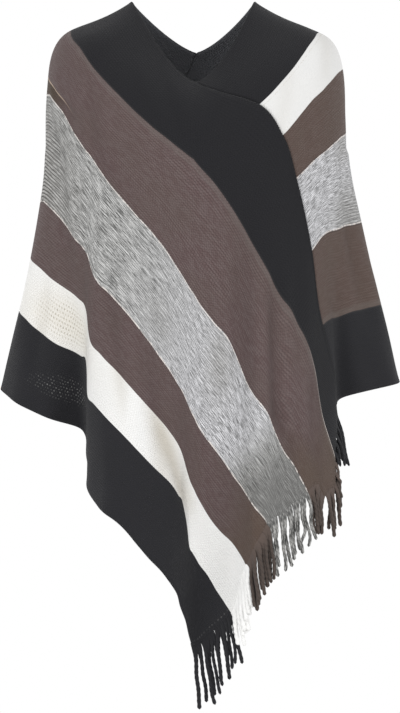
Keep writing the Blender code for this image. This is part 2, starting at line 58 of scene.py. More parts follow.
# An angle goes round the body: 0 at the front centre, 90 over the right arm (+X), 180 at the back.
# The distance down is measured along the cloth from the neck edge.
form = {
    "neckHalfWidth": 0.0928,
    "neckLean": -0.0043,             # both neck corners lie this much towards the left shoulder
    "neckFrontDepth": 0.095,
    "neckBackDepth": 0.080,
    "neckTop": 0.0505,               # levels are heights over the frame's origin
    "neckFrontLow": -0.0795,
    "neckBackLow": -0.0185,
    "neckFrontPower": 1.6,           # how the neck edge rises from a V to the shoulders
    "neckBackPower": 1.35,
    "chestLevel": -0.17,
    "chestHalfWidth": 0.2272,
    "chestFrontDepth": 0.142,
    "chestBackDepth": 0.125,
    "chestPower": 2.5,               # 2 is an ellipse, and more is squarer
    "shoulderSlope": 34.5,           # degrees
    "shoulderReach": (0.62, 0.18),   # share of the way out: all round, and more at the arms
    "shoulderTurn": (0.52, 0.50),    # share of the way down: all round, and more at the arms
    "lowestLevel": -1.12,
    "angleStep": 0.4,                # grid on which the form is worked out, degrees
    "downStep": 0.003,               # metres
    "downMost": 1.26,
    # the creases' troughs get painted shade in the knit's colour
    "fullShade": 0.007,              # depth of a trough that is as dark as they get
    "wobble": 0.0008,                # unevenness of the hanging cloth
    "wobbleStart": (0.05, 0.35),     # distances down between which it comes in
    # its waves: radians for a radian round, radians for a metre down, phase, share
    "wobbleWaves": (
        (7, 5, 0.6, 1.0),
        (12, -9, 2.1, 0.8),
        (19, 14, 4.0, 0.6),
        (31, -22, 1.3, 0.4),
    ),
    # angle: chestX, hemX, hemY, level where it starts to swing, level where it is at the hem's place
    "sections": (
        (-180, 0.004, 0.012, 0.182, -0.25, -0.60),
        (-171, -0.032, -0.020, 0.166, -0.25, -0.60),
        (-162, -0.063, -0.051, 0.150, -0.25, -0.60),
        (-153, -0.093, -0.082, 0.156, -0.25, -0.60),
        (-144, -0.122, -0.113, 0.167, -0.25, -0.60),
        (-134, -0.150, -0.148, 0.142, -0.20, -0.55),
        (-126, -0.168, -0.162, 0.098, -0.20, -0.55),
        (-118, -0.185, -0.188, 0.068, -0.17, -0.55),
        (-110, -0.203, -0.235, 0.072, -0.17, -0.55),
        (-100, -0.220, -0.281, 0.045, -0.17, -0.55),
        (-90, -0.2272, -0.2965, 0.000, -0.16, -0.55),
        (-81, -0.222, -0.274, -0.042, -0.17, -0.55),
        (-73, -0.208, -0.222, -0.058, -0.20, -0.55),
        (-66, -0.184, -0.174, -0.048, -0.27, -0.56),
        (-60, -0.168, -0.162, -0.066, -0.29, -0.57),
        (-52, -0.157, -0.159, -0.116, -0.29, -0.57),
        (-43, -0.136, -0.137, -0.150, -0.27, -0.57),
        (-31, -0.095, -0.093, -0.164, -0.20, -0.57),
        (-18, -0.048, -0.044, -0.161, -0.30, -0.70),
        (-10, -0.028, -0.024, -0.150, -0.42, -0.77),
        (-4, -0.013, -0.011, -0.134, -0.46, -0.78),
        (3, 0.005, 0.005, -0.127, -0.47, -0.78),
        (10, 0.025, 0.026, -0.133, -0.46, -0.78),
        (18, 0.052, 0.054, -0.152, -0.38, -0.74),
        (28, 0.088, 0.089, -0.171, -0.20, -0.57),
        (40, 0.130, 0.133, -0.156, -0.20, -0.57),
        (52, 0.170, 0.180, -0.122, -0.20, -0.57),
        (60, 0.190, 0.207, -0.085, -0.25, -0.57),
        (66, 0.200, 0.211, -0.057, -0.25, -0.57),
        (71, 0.207, 0.220, -0.045, -0.25, -0.57),
        (77, 0.215, 0.248, -0.048, -0.20, -0.55),
        (84, 0.225, 0.297, -0.032, -0.13, -0.55),
        (90, 0.2272, 0.313, 0.000, -0.13, -0.55),
        (100, 0.220, 0.288, 0.052, -0.13, -0.55),
        (109, 0.206, 0.236, 0.066, -0.17, -0.55),
        (117, 0.190, 0.202, 0.082, -0.20, -0.55),
        (126, 0.172, 0.186, 0.128, -0.20, -0.55),
        (136, 0.148, 0.158, 0.166, -0.20, -0.55),
        (146, 0.122, 0.124, 0.158, -0.30, -0.60),
        (153, 0.102, 0.103, 0.142, -0.30, -0.60),
        (161, 0.076, 0.080, 0.146, -0.30, -0.60),
        (170, 0.044, 0.050, 0.172, -0.25, -0.60),
    ),
    # way from the start to the hem's level: how far the swing has gone
    "swing": (
        (0.0, 0.0),
        (0.15, 0.06),
        (0.30, 0.19),
        (0.50, 0.40),
        (0.75, 0.70),
        (1.0, 1.0),
        (1.5, 1.40),
        (2.3, 1.70),
        (5.0, 1.90),
    ),
}

# Soft creases on that form: angle and distance down of the middle, heading from
# straight down (towards larger angles), length, width, height (troughs are negative) and bow.
creases = (
    # left shoulder and arm
    (-73, 0.190, 75, 0.080, 0.007, 0.0012, 0.0),
    (-72, 0.2045, 75, 0.085, 0.008, -0.0035, 0.0),
    (-78, 0.250, 30, 0.150, 0.018, -0.0030, 0.8),
    (-70, 0.330, 14, 0.210, 0.016, -0.0036, 0.0),
    (-96, 0.420, 6, 0.200, 0.018, -0.0030, 0.0),
    (-83, 0.520, -8, 0.170, 0.016, 0.0035, 0.0),
    (-76, 0.560, -6, 0.130, 0.011, -0.0040, 0.0),
    # front, below the left shoulder
    (-47, 0.210, 24, 0.170, 0.020, -0.0028, 1.2),
    (-38, 0.470, 10, 0.260, 0.018, -0.0034, 0.5),
    (-30, 0.640, 6, 0.200, 0.016, 0.0030, 0.0),
    (-21, 0.560, 8, 0.240, 0.020, -0.0034, -0.5),
    (-26, 0.330, 20, 0.200, 0.022, -0.0022, 0.0),
    # round the V of the neck
    (-14, 0.070, 35, 0.110, 0.013, -0.0026, 1.5),
    (14, 0.075, -35, 0.110, 0.013, -0.0026, -1.5),
    (-26, 0.080, 48, 0.120, 0.014, 0.0022, 0.0),
    # front centre and right
    (9, 0.520, -3, 0.260, 0.014, 0.0028, 0.0),
    (22, 0.420, 2, 0.280, 0.018, -0.0034, 0.4),
    (35.2, 0.495, 2, 0.210, 0.0125, -0.0064, 0.0),
    (40.5, 0.500, 3, 0.220, 0.012, 0.0042, 0.0),
    (39.5, 0.620, 24, 0.130, 0.010, -0.0060, 0.0),
    (-11.5, 0.598, 24, 0.120, 0.017, -0.0065, 0.0),
    (28, 0.760, 4, 0.150, 0.012, 0.0034, 0.0),
    (50, 0.640, 5, 0.160, 0.012, -0.0034, 0.0),
    # right shoulder and arm
    (40, 0.150, -28, 0.150, 0.022, -0.0014, 0.8),
    (76, 0.130, -46, 0.110, 0.018, -0.0016, 0.0),
    (88, 0.300, -8, 0.170, 0.018, -0.0028, 0.0),
    (80, 0.470, 5, 0.210, 0.013, -0.0046, 0.0),
    (86, 0.540, 6, 0.170, 0.012, 0.0034, 0.0),
    (74, 0.520, 3, 0.180, 0.011, 0.0028, 0.0),
    (97, 0.520, -4, 0.160, 0.014, -0.0036, 0.0),
    # back
    (120, 0.200, 24, 0.170, 0.020, -0.0030, 0.8),
    (113, 0.470, -5, 0.220, 0.015, -0.0036, 0.0),
    (132, 0.380, 8, 0.260, 0.018, -0.0034, 0.4),
    (143, 0.560, 4, 0.230, 0.014, 0.0032, 0.0),
    (166, 0.500, -4, 0.270, 0.017, -0.0036, 0.0),
    (176, 0.640, 2, 0.220, 0.013, 0.0034, 0.3),
    (-170, 0.560, 5, 0.240, 0.014, -0.0036, 0.0),
    (-158, 0.420, -6, 0.240, 0.018, 0.0026, 0.0),
    (-148, 0.560, -3, 0.220, 0.014, -0.0038, 0.0),
    (-132, 0.300, -16, 0.200, 0.018, -0.0030, -0.6),
    (-116, 0.500, -3, 0.210, 0.013, -0.0038, 0.0),
    (-104, 0.180, -40, 0.130, 0.014, -0.0028, 0.0),
    (168, 0.080, 35, 0.110, 0.013, -0.0024, -1.2),
    (-166, 0.080, -35, 0.110, 0.013, -0.0024, 1.2),
)


# Smooth curve through a table's rows: cubic pieces whose slope at a row is the mean of the slopes
# beside it, weighted by the spans. With a period the rows go round.
def throughRows(rows, x, period=None):
    rows = np.array(rows, float)
    knots, values = rows[:, 0], rows[:, 1:]
    x = np.asarray(x, float)
    if period:
        x = (x - knots[0]) % period + knots[0]
        knots = np.concatenate([knots[-2:] - period, knots, knots[:2] + period])
        values = np.concatenate([values[-2:], values, values[:2]])
    else:
        x = np.clip(x, knots[0], knots[-1])
    spans = np.diff(knots)[:, None]
    rises = np.diff(values, axis=0) / spans
    slopes = np.empty_like(values)
    slopes[0], slopes[-1] = rises[0], rises[-1]
    slopes[1:-1] = (rises[:-1] * spans[1:] + rises[1:] * spans[:-1]) / (spans[1:] + spans[:-1])
    i = np.clip(np.searchsorted(knots, x, side="right") - 1, 0, len(knots) - 2)
    span = (knots[i + 1] - knots[i])[..., None]
    s = (x - knots[i])[..., None] / span
    start = (2 * s**3 - 3 * s**2 + 1) * values[i] + (s**3 - 2 * s**2 + s) * span * slopes[i]
    end = (3 * s**2 - 2 * s**3) * values[i + 1] + (s**3 - s**2) * span * slopes[i + 1]
    return start + end


# Vectors divided by their length.
def unit(vectors):
    return vectors / np.maximum(np.linalg.norm(vectors, axis=-1, keepdims=True), 1e-12)


# Smooth step: 0 below low, 1 above high, 3t^2 - 2t^3 between.
def smooth(low, high, x):
    t = np.clip((x - low) / (high - low), 0, 1)
    return t * t * (3 - 2 * t)


# Neck edge: an ellipse in plan, whose height is the low point of each V plus a power of the sine
# of the angle times the rise to the shoulders.
def neckRing(angle):
    side, ahead = np.sin(np.radians(angle)), np.cos(np.radians(angle))
    front = ahead > 0
    depth = np.where(front, form["neckFrontDepth"], form["neckBackDepth"])
    low = np.where(front, form["neckFrontLow"], form["neckBackLow"])
    power = np.where(front, form["neckFrontPower"], form["neckBackPower"])
    height = low + (form["neckTop"] - low) * np.abs(side) ** power
    across = form["neckHalfWidth"] * side + form["neckLean"] * side**2
    return np.stack([across, -depth * ahead, height], -1)


# Chest ring: a squared ellipse read at x, its front half at negative y.
def chestRing(angle, x):
    x = np.clip(x, -form["chestHalfWidth"], form["chestHalfWidth"])
    share = (1 - np.abs(x / form["chestHalfWidth"]) ** form["chestPower"]) ** (1 / form["chestPower"])
    depth = np.where(np.cos(np.radians(angle)) > 0, -form["chestFrontDepth"], form["chestBackDepth"])
    return np.stack([x, depth * share, np.full_like(x, form["chestLevel"])], -1)


# The line down the form at each angle: a cubic Bezier from the neck over the shoulder to the
# chest ring, then levels whose plan place swings from the chest's towards the hem's.
def linesDown(angle, shoulderSteps=48, skirtSteps=120):
    sections = throughRows(form["sections"], angle, 360.0)
    neck = neckRing(angle)
    chest = chestRing(angle, sections[:, 0])
    side = np.sin(np.radians(angle)) ** 2
    run = chest[:, :2] - neck[:, :2]
    distance = np.linalg.norm(run, axis=1)
    drop = neck[:, 2] - chest[:, 2]
    reach = form["shoulderReach"][0] + form["shoulderReach"][1] * side
    slope = math.tan(math.radians(form["shoulderSlope"]))
    fall = np.minimum(reach * distance * slope, drop / 2)
    leave = neck + np.concatenate([run * reach[:, None], -fall[:, None]], 1)
    turn = drop * (form["shoulderTurn"][0] + form["shoulderTurn"][1] * side)
    arrive = chest + np.stack([0 * turn, 0 * turn, turn], 1)
    s = np.linspace(0, 1, shoulderSteps)[None, :, None]
    shoulder = (1 - s) ** 3 * neck[:, None] + 3 * (1 - s) ** 2 * s * leave[:, None]
    shoulder = shoulder + 3 * (1 - s) * s**2 * arrive[:, None] + s**3 * chest[:, None]
    level = np.linspace(form["chestLevel"], form["lowestLevel"], skirtSteps + 1)[1:]
    starts, full = sections[:, 3, None], sections[:, 4, None]
    swing = throughRows(form["swing"], (starts - level) / (starts - full))
    plan = chest[:, None, :2] + (sections[:, 1:3] - chest[:, :2])[:, None] * swing
    height = np.broadcast_to(level[None, :, None], plan.shape[:2] + (1,))
    return np.concatenate([shoulder, np.concatenate([plan, height], 2)], 1)


# Points at even distances along each line: the distance travelled is the sum of the steps, and a
# point lies between the two line points that its distance falls between.
def evenDown(lines, wanted):
    steps = np.linalg.norm(np.diff(lines, axis=1), axis=2)
    travelled = np.concatenate([np.zeros((len(lines), 1)), np.cumsum(steps, 1)], 1)
    i = np.stack([np.searchsorted(row, wanted, side="right") for row in travelled]) - 1
    i = np.clip(i, 0, lines.shape[1] - 2)
    n = np.arange(len(lines))[:, None]
    s = (wanted - travelled[n, i]) / (travelled[n, i + 1] - travelled[n, i])
    return lines[n, i] + (lines[n, i + 1] - lines[n, i]) * s[..., None]


# Outward directions of a grid of points (angle by distance down): the cross product of the
# direction down and the direction round. The first and last angle are the same line.
def outward(points):
    ring = np.concatenate([points[-2:-1], points, points[1:2]])
    return unit(np.cross(np.gradient(points, axis=1), ring[2:] - ring[:-2]))


# Height of all creases at each place: along its own axis a crease fades as exp(-(t/half)^4), and
# across it as exp(-(t/width)^2). The bow bends its axis by a square of the way along.
def creaseHeight(angles, downs, metresPerDegree):
    total = np.zeros((len(angles), len(downs)))
    for angle, down, heading, length, width, height, bow in creases:
        scale = metresPerDegree[np.abs(angles - angle).argmin(), np.abs(downs - down).argmin()]
        x = ((angles - angle + 180) % 360 - 180)[:, None] * scale
        y = (downs - down)[None]
        turn = math.radians(heading)
        along = y * math.cos(turn) + x * math.sin(turn)
        across = x * math.cos(turn) - y * math.sin(turn) - bow * along**2
        total += height * np.exp(-((along / (length / 2)) ** 4) - (across / width) ** 2)
    return total


# Small unevenness of the hanging cloth: a sum of long sine waves, mostly vertical ones.
def wobble(angles, downs):
    a, d = np.radians(angles)[:, None], downs[None]
    waves = 0
    for turns, falls, phase, share in form["wobbleWaves"]:
        waves = waves + share * np.sin(turns * a + falls * d + phase)
    return form["wobble"] * waves * smooth(*form["wobbleStart"], d)


formAngles = np.arange(-180, 180 + form["angleStep"] / 2, form["angleStep"])
formDowns = np.arange(0, form["downMost"], form["downStep"])
bare = evenDown(linesDown(formAngles), formDowns)
roundStep = np.linalg.norm(np.gradient(bare, axis=0), axis=2) / form["angleStep"]
creased = creaseHeight(formAngles, formDowns, roundStep)
formPoints = bare + outward(bare) * (creased + wobble(formAngles, formDowns))[..., None]
formOut = outward(formPoints)
# how deep each place lies in a crease's trough, used as painted shade
troughShadeGrid = np.clip(-creased / form["fullShade"], 0, 1)[..., None]
print("form worked out", formPoints.shape)


# A grid of values read between its places, linearly both ways; angles go round.
def readForm(values, angle, down):
    i = ((angle + 180) % 360) / form["angleStep"]
    j = np.clip(down / form["downStep"], 0, values.shape[1] - 1.001)
    i0, j0 = np.minimum(i.astype(int), len(values) - 2), j.astype(int)
    s, t = (i - i0)[..., None], (j - j0)[..., None]
    near = values[i0, j0] * (1 - t) + values[i0, j0 + 1] * t
    far = values[i0 + 1, j0] * (1 - t) + values[i0 + 1, j0 + 1] * t
    return near * (1 - s) + far * s


cloth = {
    "width": 0.600,          # of the flat panel, neck edge to hem
    "length": 0.900,         # sewn end to fringed end
    "wall": 0.0028,
    "meshStep": 0.0052,
    "rowPoints": 700,        # of a row, before it is spaced evenly
    "seamPoints": 801,       # at which a seam's angle is worked out
    "seamGap": 0.0003,
    "seamLift": 0.0011,      # the long edge lies on the end that is sewn to it
    "seamReach": 0.006,
    "seamStart": 8,          # degrees past the V over which the seam begins
    "seamMark": 0.005,       # width of its stitching
    "rollWidth": 0.005,      # free edges are a little thicker
    "rollHeight": 0.0006,
    "edgeProud": 0.4,        # share of the wall by which a free edge is rounded
    # the black's inside behind the neck gets painted light between these limits
    "neckInsideDown": (0.13, 0.20),     # distances down between which the neck's inside ends
    "neckInsideAngle": (95, 125),       # and degrees from the front between which it begins
    # stripe, width of the left panel from its neck edge out; the right one is turned round
    "stripes": (
        ("blackInner", 0.108),
        ("brownWide", 0.120),
        ("grey", 0.132),
        ("brownNarrow", 0.075),
        ("white", 0.066),
        ("blackOuter", 0.114),
    ),
}

hem = {
    "height": 0.00132,       # of its waves
    "reach": 0.045,          # how far in from the hem they fade
    "ends": 0.05,            # and how far from its ends
    "short": 0.0105,         # metres for a radian of the short wave
    "drift": 1.5,            # radians by which its phase drifts
    "driftLength": 0.061,
    "long": 0.0237,
    "longShare": 0.7,
    "longPhase": 1.0,
}

# angle: distance from the panel's inner edge to its outer edge down the form, and how much closer
# than even its lines lie near the inner edge
leftDrape = (
    (-180, 0.80, 0.10),
    (-160, 0.74, 0.28),
    (-140, 0.68, 0.28),
    (-126, 0.655, 0.28),
    (-105, 0.65, 0.25),
    (-90, 0.662, 0.25),
    (-75, 0.679, 0.25),
    (-62, 0.697, 0.27),
    (-55, 0.728, 0.31),
    (-45, 0.742, 0.29),
    (-35, 0.745, 0.26),
    (-25, 0.762, 0.23),
    (-15, 0.781, 0.18),
    (-8, 0.804, 0.10),
    (0, 0.864, 0.04),
    (10, 0.915, 0.02),
    (20, 0.96, -0.15),
    (30, 1.02, -0.40),
    (39, 1.08, -0.38),
    (47, 1.10, -0.05),
    (54, 1.03, 0.12),
    (62, 0.96, 0.05),
    (80, 0.96, 0.00),
)
rightDrape = (
    (0, 0.66, 0.22),
    (30, 0.655, 0.19),
    (45, 0.655, 0.15),
    (54, 0.655, 0.22),
    (62, 0.655, 0.26),
    (75, 0.658, 0.25),
    (90, 0.660, 0.25),
    (105, 0.650, 0.22),
    (120, 0.655, 0.26),
    (135, 0.70, 0.34),
    (148, 0.75, 0.36),
    (160, 0.80, 0.32),
    (172, 0.825, 0.20),
    (182, 0.822, 0.08),
    (190, 0.825, -0.10),
    (200, 0.825, -0.25),
    (212, 0.81, -0.20),
    (222, 0.80, 0.00),
    (232, 0.76, 0.15),
    (250, 0.72, 0.20),
)
# For each border past a panel's inner edge: angle, and metres by which the border lies lower there
leftShift = (
    (  # inner black to wide brown
        (-112, 0), (-92, 0.003), (-79, 0.009), (-69, 0.016), (-60, 0.021), (-50, 0.013), (-40, 0.007),
        (-28, 0.005), (-16, 0.002), (-10, -0.005), (-2, -0.013), (8, -0.014), (16, -0.01),
        (23, -0.004), (29, 0), (36, 0.008), (41, 0.011), (46, 0.008), (50, -0.001), (54, -0.002),
        (62, 0),
    ),
    (  # wide brown to grey
        (-112, 0), (-92, -0.01), (-76, -0.013), (-70, -0.007), (-66, 0.008), (-61, 0.013),
        (-56, 0.008), (-51, 0.001), (-45, 0.004), (-32, 0.011), (-25, 0.013), (-18, 0.019),
        (-12, 0.02), (0, 0.015), (11, 0.012), (18, 0.006), (21, 0.015), (23.5, 0.02), (27, 0.013),
        (33, 0.003), (37, 0.009), (41, 0.012), (47, 0.013), (62, 0),
    ),
    (  # grey to narrow brown
        (-112, 0), (-90, 0.003), (-77, -0.006), (-72, -0.002), (-67, 0.011), (-60, 0.005),
        (-53, -0.01), (-49, 0.001), (-40, 0.002), (-30, 0.006), (-24, 0.011), (-20, 0.017),
        (-14, 0.019), (-6, 0.014), (0, 0.011), (7, 0.005), (13, 0), (19, -0.004), (23, -0.013),
        (28, -0.025), (32, -0.033), (62, 0),
    ),
    (  # narrow brown to white
        (-112, 0), (-90, -0.002), (-79, 0), (-68, 0.008), (-63, 0.003), (-59, -0.009), (-55, -0.011),
        (-50, 0.005), (-44, 0.004), (-34, 0.007), (-27, 0.008), (-18, 0.006), (-10, 0.005),
        (-2, 0.011), (4, 0.005), (9, 0.003), (14, -0.005), (19, -0.017), (22, -0.02), (27, -0.02),
        (62, 0),
    ),
    (  # white to outer black
        (-112, 0), (-90, 0.003), (-83, 0.004), (-76, 0.014), (-68, 0.019), (-63, 0.01), (-59, -0.01),
        (-56, -0.007), (-53, 0.007), (-48, 0.002), (-33, 0.003), (-20, -0.001), (-14, -0.007),
        (-9, -0.011), (-7, -0.017), (-5.5, 0.004), (-4, 0.026), (-2, 0.021), (2, 0.008), (6, -0.002),
        (11, -0.006), (17, -0.007), (62, 0),
    ),
    (  # hem
        (-112, 0), (-82, 0.001), (-67, 0.001), (-60, -0.005), (-50, 0.002), (-38, -0.004),
        (-20, -0.005), (-8, -0.007), (-4, -0.002), (0, -0.004), (62, 0),
    ),
)
rightShift = (
    (  # outer black to white
        (0, 0), (31, 0.002), (45, -0.001), (55, 0.005), (66, 0.01), (80, 0.008), (100, 0.003),
        (125, 0), (260, 0),
    ),
    (  # white to narrow brown
        (0, 0), (40, 0.004), (47, 0), (53, 0.002), (60, 0.009), (70, 0.013), (85, 0.01), (108, 0.004),
        (130, 0), (260, 0),
    ),
    (  # narrow brown to grey
        (0, 0), (47, 0.006), (55, 0.012), (64, 0.023), (72, 0.026), (84, 0.026), (100, 0.018),
        (130, 0), (260, 0),
    ),
    (  # grey to wide brown
        (0, 0), (45, -0.008), (57, -0.011), (63, -0.004), (70, 0.006), (80, 0.011), (100, 0.006),
        (130, 0), (260, 0),
    ),
    (  # wide brown to inner black
        (0, 0), (48, -0.022), (57, -0.023), (63, -0.014), (70, -0.003), (78, -0.001), (90, 0),
        (260, 0),
    ),
    (  # hem
        (0, 0), (260, 0),
    ),
)
# share of the way across a panel: angle at which its seam or its fringed end lies there
frontSeam = (
    (0.0, 0), (0.1, 18), (0.185, 30.5), (0.293, 39.5), (0.415, 45), (0.629, 51.2), (0.824, 55.5),
    (1.0, 66),
)
backSeam = (
    (0.0, -180), (0.1, -171), (0.185, -164), (0.293, -156.5), (0.415, -150), (0.629, -141),
    (0.824, -133.5), (1.0, -127),
)
frontEnd = (
    (0.0, 66), (0.03, 63.8), (0.06, 62), (0.12, 59.6), (0.176, 58.1), (0.225, 57.6), (0.25, 55.8),
    (0.31, 52.4), (0.371, 47.5), (0.45, 41.0), (0.54, 34.8), (0.62, 29.1), (0.707, 23.6),
    (0.815, 17.3), (0.9, 8.6), (1.0, -1.5),
)
backEnd = (
    (0.0, 233), (0.185, 226), (0.371, 217), (0.585, 205), (0.707, 198), (0.815, 190), (1.0, 181),
)

panels = {
    "left": {
        "drape": leftDrape,
        "shift": leftShift,
        "stripes": cloth["stripes"],
        "sewnEnd": backSeam,
        "fringedEnd": frontEnd,
        "seam": frontSeam,        # along the inner edge, where the other panel is sewn on
        "seamTurn": 0,
        "other": "right",
        "neckEnd": 0,             # angle of the V, past which the inner edge is that seam
        "palerAndPaintedLight": (0.0, 0.95),     # how pale the grey is on the arm, and further along
        "panelShade": 0.0,            # how much darker brown and white are
        "stitched": 1.0,          # how deep the stitches of the white are
    },
    "right": {
        "drape": rightDrape,
        "shift": rightShift,
        "stripes": cloth["stripes"][::-1],
        "sewnEnd": frontSeam,
        "fringedEnd": backEnd,
        "seam": backSeam,
        "seamTurn": 360,
        "other": "left",
        "neckEnd": 180,
        # on the right panel the grey is pale even on the arm: painted light
        "palerAndPaintedLight": (0.90, 0.95),
        # the right panel's brown and white are darker: painted shade
        "panelShade": 0.42,
        "stitched": 0.3,
    },
}


# Shares of the way across at a panel's stripe borders, 0 and 1 with them.
def borders(panel):
    widths = np.array([width for _, width in panel["stripes"]])
    return np.concatenate([[0], np.cumsum(widths) / widths.sum()])


# Distance from the inner edge: reach times the share, less the ease times the square of what is
# left of the way, plus the borders' own shifts, read smoothly between them.
def drapeDown(panel, angle, across):
    values = throughRows(panel["drape"], angle)
    moves = np.stack([throughRows(rows, angle)[..., 0] for rows in panel["shift"]], -1)
    moves = np.concatenate([np.zeros(moves.shape[:-1] + (1,)), moves], -1)
    edges = borders(panel)
    k = np.clip(np.searchsorted(edges, across, side="right") - 1, 0, len(edges) - 2)
    k = np.broadcast_to(k, moves.shape[:-1])
    t = (across - edges[k]) / (edges[k + 1] - edges[k])
    t = (t + smooth(0, 1, t)) / 2
    low = np.take_along_axis(moves, k[..., None], -1)[..., 0]
    high = np.take_along_axis(moves, k[..., None] + 1, -1)[..., 0]
    base = values[..., 0] * across * (1 - values[..., 1] * (1 - across) ** 2)
    return base + low * (1 - t) + high * t


# Distance down the form: the inner edge's own, which past the V is the seam's, plus the drape.
def panelDown(panel, angle, across):
    shares = np.linspace(0, 1, cloth["seamPoints"])
    turned = angle - panel["seamTurn"]
    share = np.interp(turned, throughRows(panel["seam"], shares)[:, 0], shares)
    seam = drapeDown(panels[panel["other"]], turned, share)
    return np.where(angle > panel["neckEnd"], seam, 0.0) + drapeDown(panel, angle, across)


# Shares across at the mesh rows: even steps within each stripe, with a row on every border.
def meshRows(panel):
    edges = borders(panel)
    shares = [np.zeros(1)]
    for start, end, (_, width) in zip(edges, edges[1:], panel["stripes"]):
        shares.append(np.linspace(start, end, round(width / cloth["meshStep"]) + 1)[1:])
    return np.concatenate(shares)


# Grid of a panel: on each row the angles are spaced so that the points lie evenly along the cloth.
def panelGrid(panel):
    across = meshRows(panel)
    first = throughRows(panel["sewnEnd"], across)
    last = throughRows(panel["fringedEnd"], across)
    fine = np.linspace(0, 1, cloth["rowPoints"])
    angle = first + (last - first) * fine
    points = readForm(formPoints, angle, panelDown(panel, angle, across[:, None]))
    steps = np.linalg.norm(np.diff(points, axis=1), axis=2)
    travelled = np.concatenate([np.zeros((len(across), 1)), np.cumsum(steps, 1)], 1)
    travelled /= travelled[:, -1:]
    along = np.linspace(0, 1, round(cloth["length"] / cloth["meshStep"]) + 1)
    spaced = np.stack([np.interp(along, way, fine) for way in travelled])
    angle = first + (last - first) * spaced
    return across, along, angle, panelDown(panel, angle, across[:, None])


# Outward directions of a panel's grid: rows run across and columns along.
def gridOut(points):
    return unit(np.cross(np.gradient(points, axis=0), np.gradient(points, axis=1)))


# Waves of the hem: a short sine whose phase drifts, plus a longer one. They are less by
# exp(-distance / reach) in from the hem, and they fade out at its ends.
def hemWaves(u, v):
    short = np.sin(u / hem["short"] + hem["drift"] * np.sin(u / hem["driftLength"]))
    long = np.sin(u / hem["long"] + hem["longPhase"]) * hem["longShare"]
    fade = np.exp((v - cloth["width"]) / hem["reach"])
    fade = fade * smooth(0, hem["ends"], cloth["length"] - u) * smooth(0, hem["ends"], u)
    return hem["height"] * fade * (short + long)


# Middle surface of a panel. Its points are the form's, moved outwards by the lift of the long
# edge over the seam and by the hem's waves, and set back by half the seam's gap.
def panelSurface(panel):
    across, along, angle, down = panelGrid(panel)
    points = readForm(formPoints, angle, down)
    out = unit(readForm(formOut, angle, down))
    v = across[:, None] * cloth["width"] + 0 * angle
    u = along[None] * cloth["length"] + 0 * angle
    sewn = smooth(0, cloth["seamStart"], angle - panel["neckEnd"])
    lift = np.exp(-((v / cloth["seamReach"]) ** 2)) * sewn - np.exp(-((u / cloth["seamReach"]) ** 2)) / 2
    points = points + out * (cloth["seamLift"] * lift + hemWaves(u, v))[..., None]
    run = unit(np.gradient(points[:, 0], axis=0))
    points[:, 0] += unit(np.cross(out[:, 0], run)) * cloth["seamGap"] / 2
    start = np.argmax(angle[0] > panel["neckEnd"])
    run = unit(np.gradient(points[0, start:], axis=0))
    points[0, start:] -= unit(np.cross(out[0, start:], run)) * cloth["seamGap"] / 2
    return {"across": across, "u": u, "v": v, "angle": angle, "down": down, "points": points,
            "out": gridOut(points), "sewn": sewn}


# Half the wall's thickness: even, and a little more beside the free edges, where the knit rolls.
def halfWall(sheet):
    neckEdge = np.exp(-((sheet["v"] / cloth["rollWidth"]) ** 2)) * (1 - sheet["sewn"])
    hemEdge = np.exp(-(((cloth["width"] - sheet["v"]) / cloth["rollWidth"]) ** 2))
    return cloth["wall"] / 2 + cloth["rollHeight"] * (neckEdge + hemEdge)


# A closed shell: the middle surface moved out and in by half the wall, joined round the border by
# a ring that stands a little proud of it, so that the edge looks round. Gives also which point of
# the middle surface each vertex comes from.
def shellMesh(name, sheet):
    points, out = sheet["points"], sheet["out"]
    half = halfWall(sheet)[..., None]
    inner = half.size
    index = np.arange(inner).reshape(points.shape[:2])
    edge = np.concatenate([index[:-1, 0], index[-1, :-1], index[:0:-1, -1], index[0, :0:-1]])
    middle = points.reshape(-1, 3)[edge]
    run = unit(np.roll(middle, -1, axis=0) - np.roll(middle, 1, axis=0))
    past = unit(np.cross(run, out.reshape(-1, 3)[edge]))
    u, v, sewn = [sheet[key].ravel()[edge] for key in ("u", "v", "sewn")]
    free = (u > 0) * (1 - sewn * (v == 0))
    ring = middle + past * (cloth["wall"] * cloth["edgeProud"] * free)[:, None]
    walls = points + out * half, points - out * half
    vertices = np.concatenate([wall.reshape(-1, 3) for wall in walls] + [ring])
    corners = index[:-1, :-1], index[1:, :-1], index[1:, 1:], index[:-1, 1:]
    outer = np.stack([corner.ravel() for corner in corners], 1)
    ringIds = 2 * inner + np.arange(len(edge))
    after, ringAfter = np.roll(edge, -1), np.roll(ringIds, -1)
    faces = np.concatenate([
        outer,
        outer[:, ::-1] + inner,
        np.stack([after, edge, ringIds, ringAfter], 1),
        np.stack([ringAfter, ringIds, edge + inner, after + inner], 1),
    ])
    cover = np.concatenate([np.arange(inner), np.arange(inner), edge])
    uv = np.stack([sheet["u"].ravel(), sheet["v"].ravel()], 1)
    return makeMesh(name, vertices, faces, uv[cover]), cover


# A mesh object from arrays of places, faces of equal corner count and a UV place for each vertex.
def makeMesh(name, vertices, faces, uv, capFaces=()):
    mesh = bpy.data.meshes.new(name)
    loops = [faces.ravel()] + [cap.ravel() for cap in capFaces]
    sizes = [np.full(len(faces), faces.shape[1])] + [np.full(len(cap), cap.shape[1]) for cap in capFaces]
    loops, sizes = np.concatenate(loops), np.concatenate(sizes)
    mesh.vertices.add(len(vertices))
    mesh.vertices.foreach_set("co", vertices.astype(np.float32).ravel())
    mesh.loops.add(len(loops))
    mesh.loops.foreach_set("vertex_index", loops.astype(np.int32))
    mesh.polygons.add(len(sizes))
    mesh.polygons.foreach_set("loop_start", (np.cumsum(sizes) - sizes).astype(np.int32))
    mesh.polygons.foreach_set("use_smooth", np.ones(len(sizes), bool))
    mesh.update(calc_edges=True)
    layer = mesh.uv_layers.new(name="clothPlace")
    layer.uv.foreach_set("vector", uv[loops].astype(np.float32).ravel())
    piece = bpy.data.objects.new(name, mesh)
    bpy.context.scene.collection.objects.link(piece)
    return piece


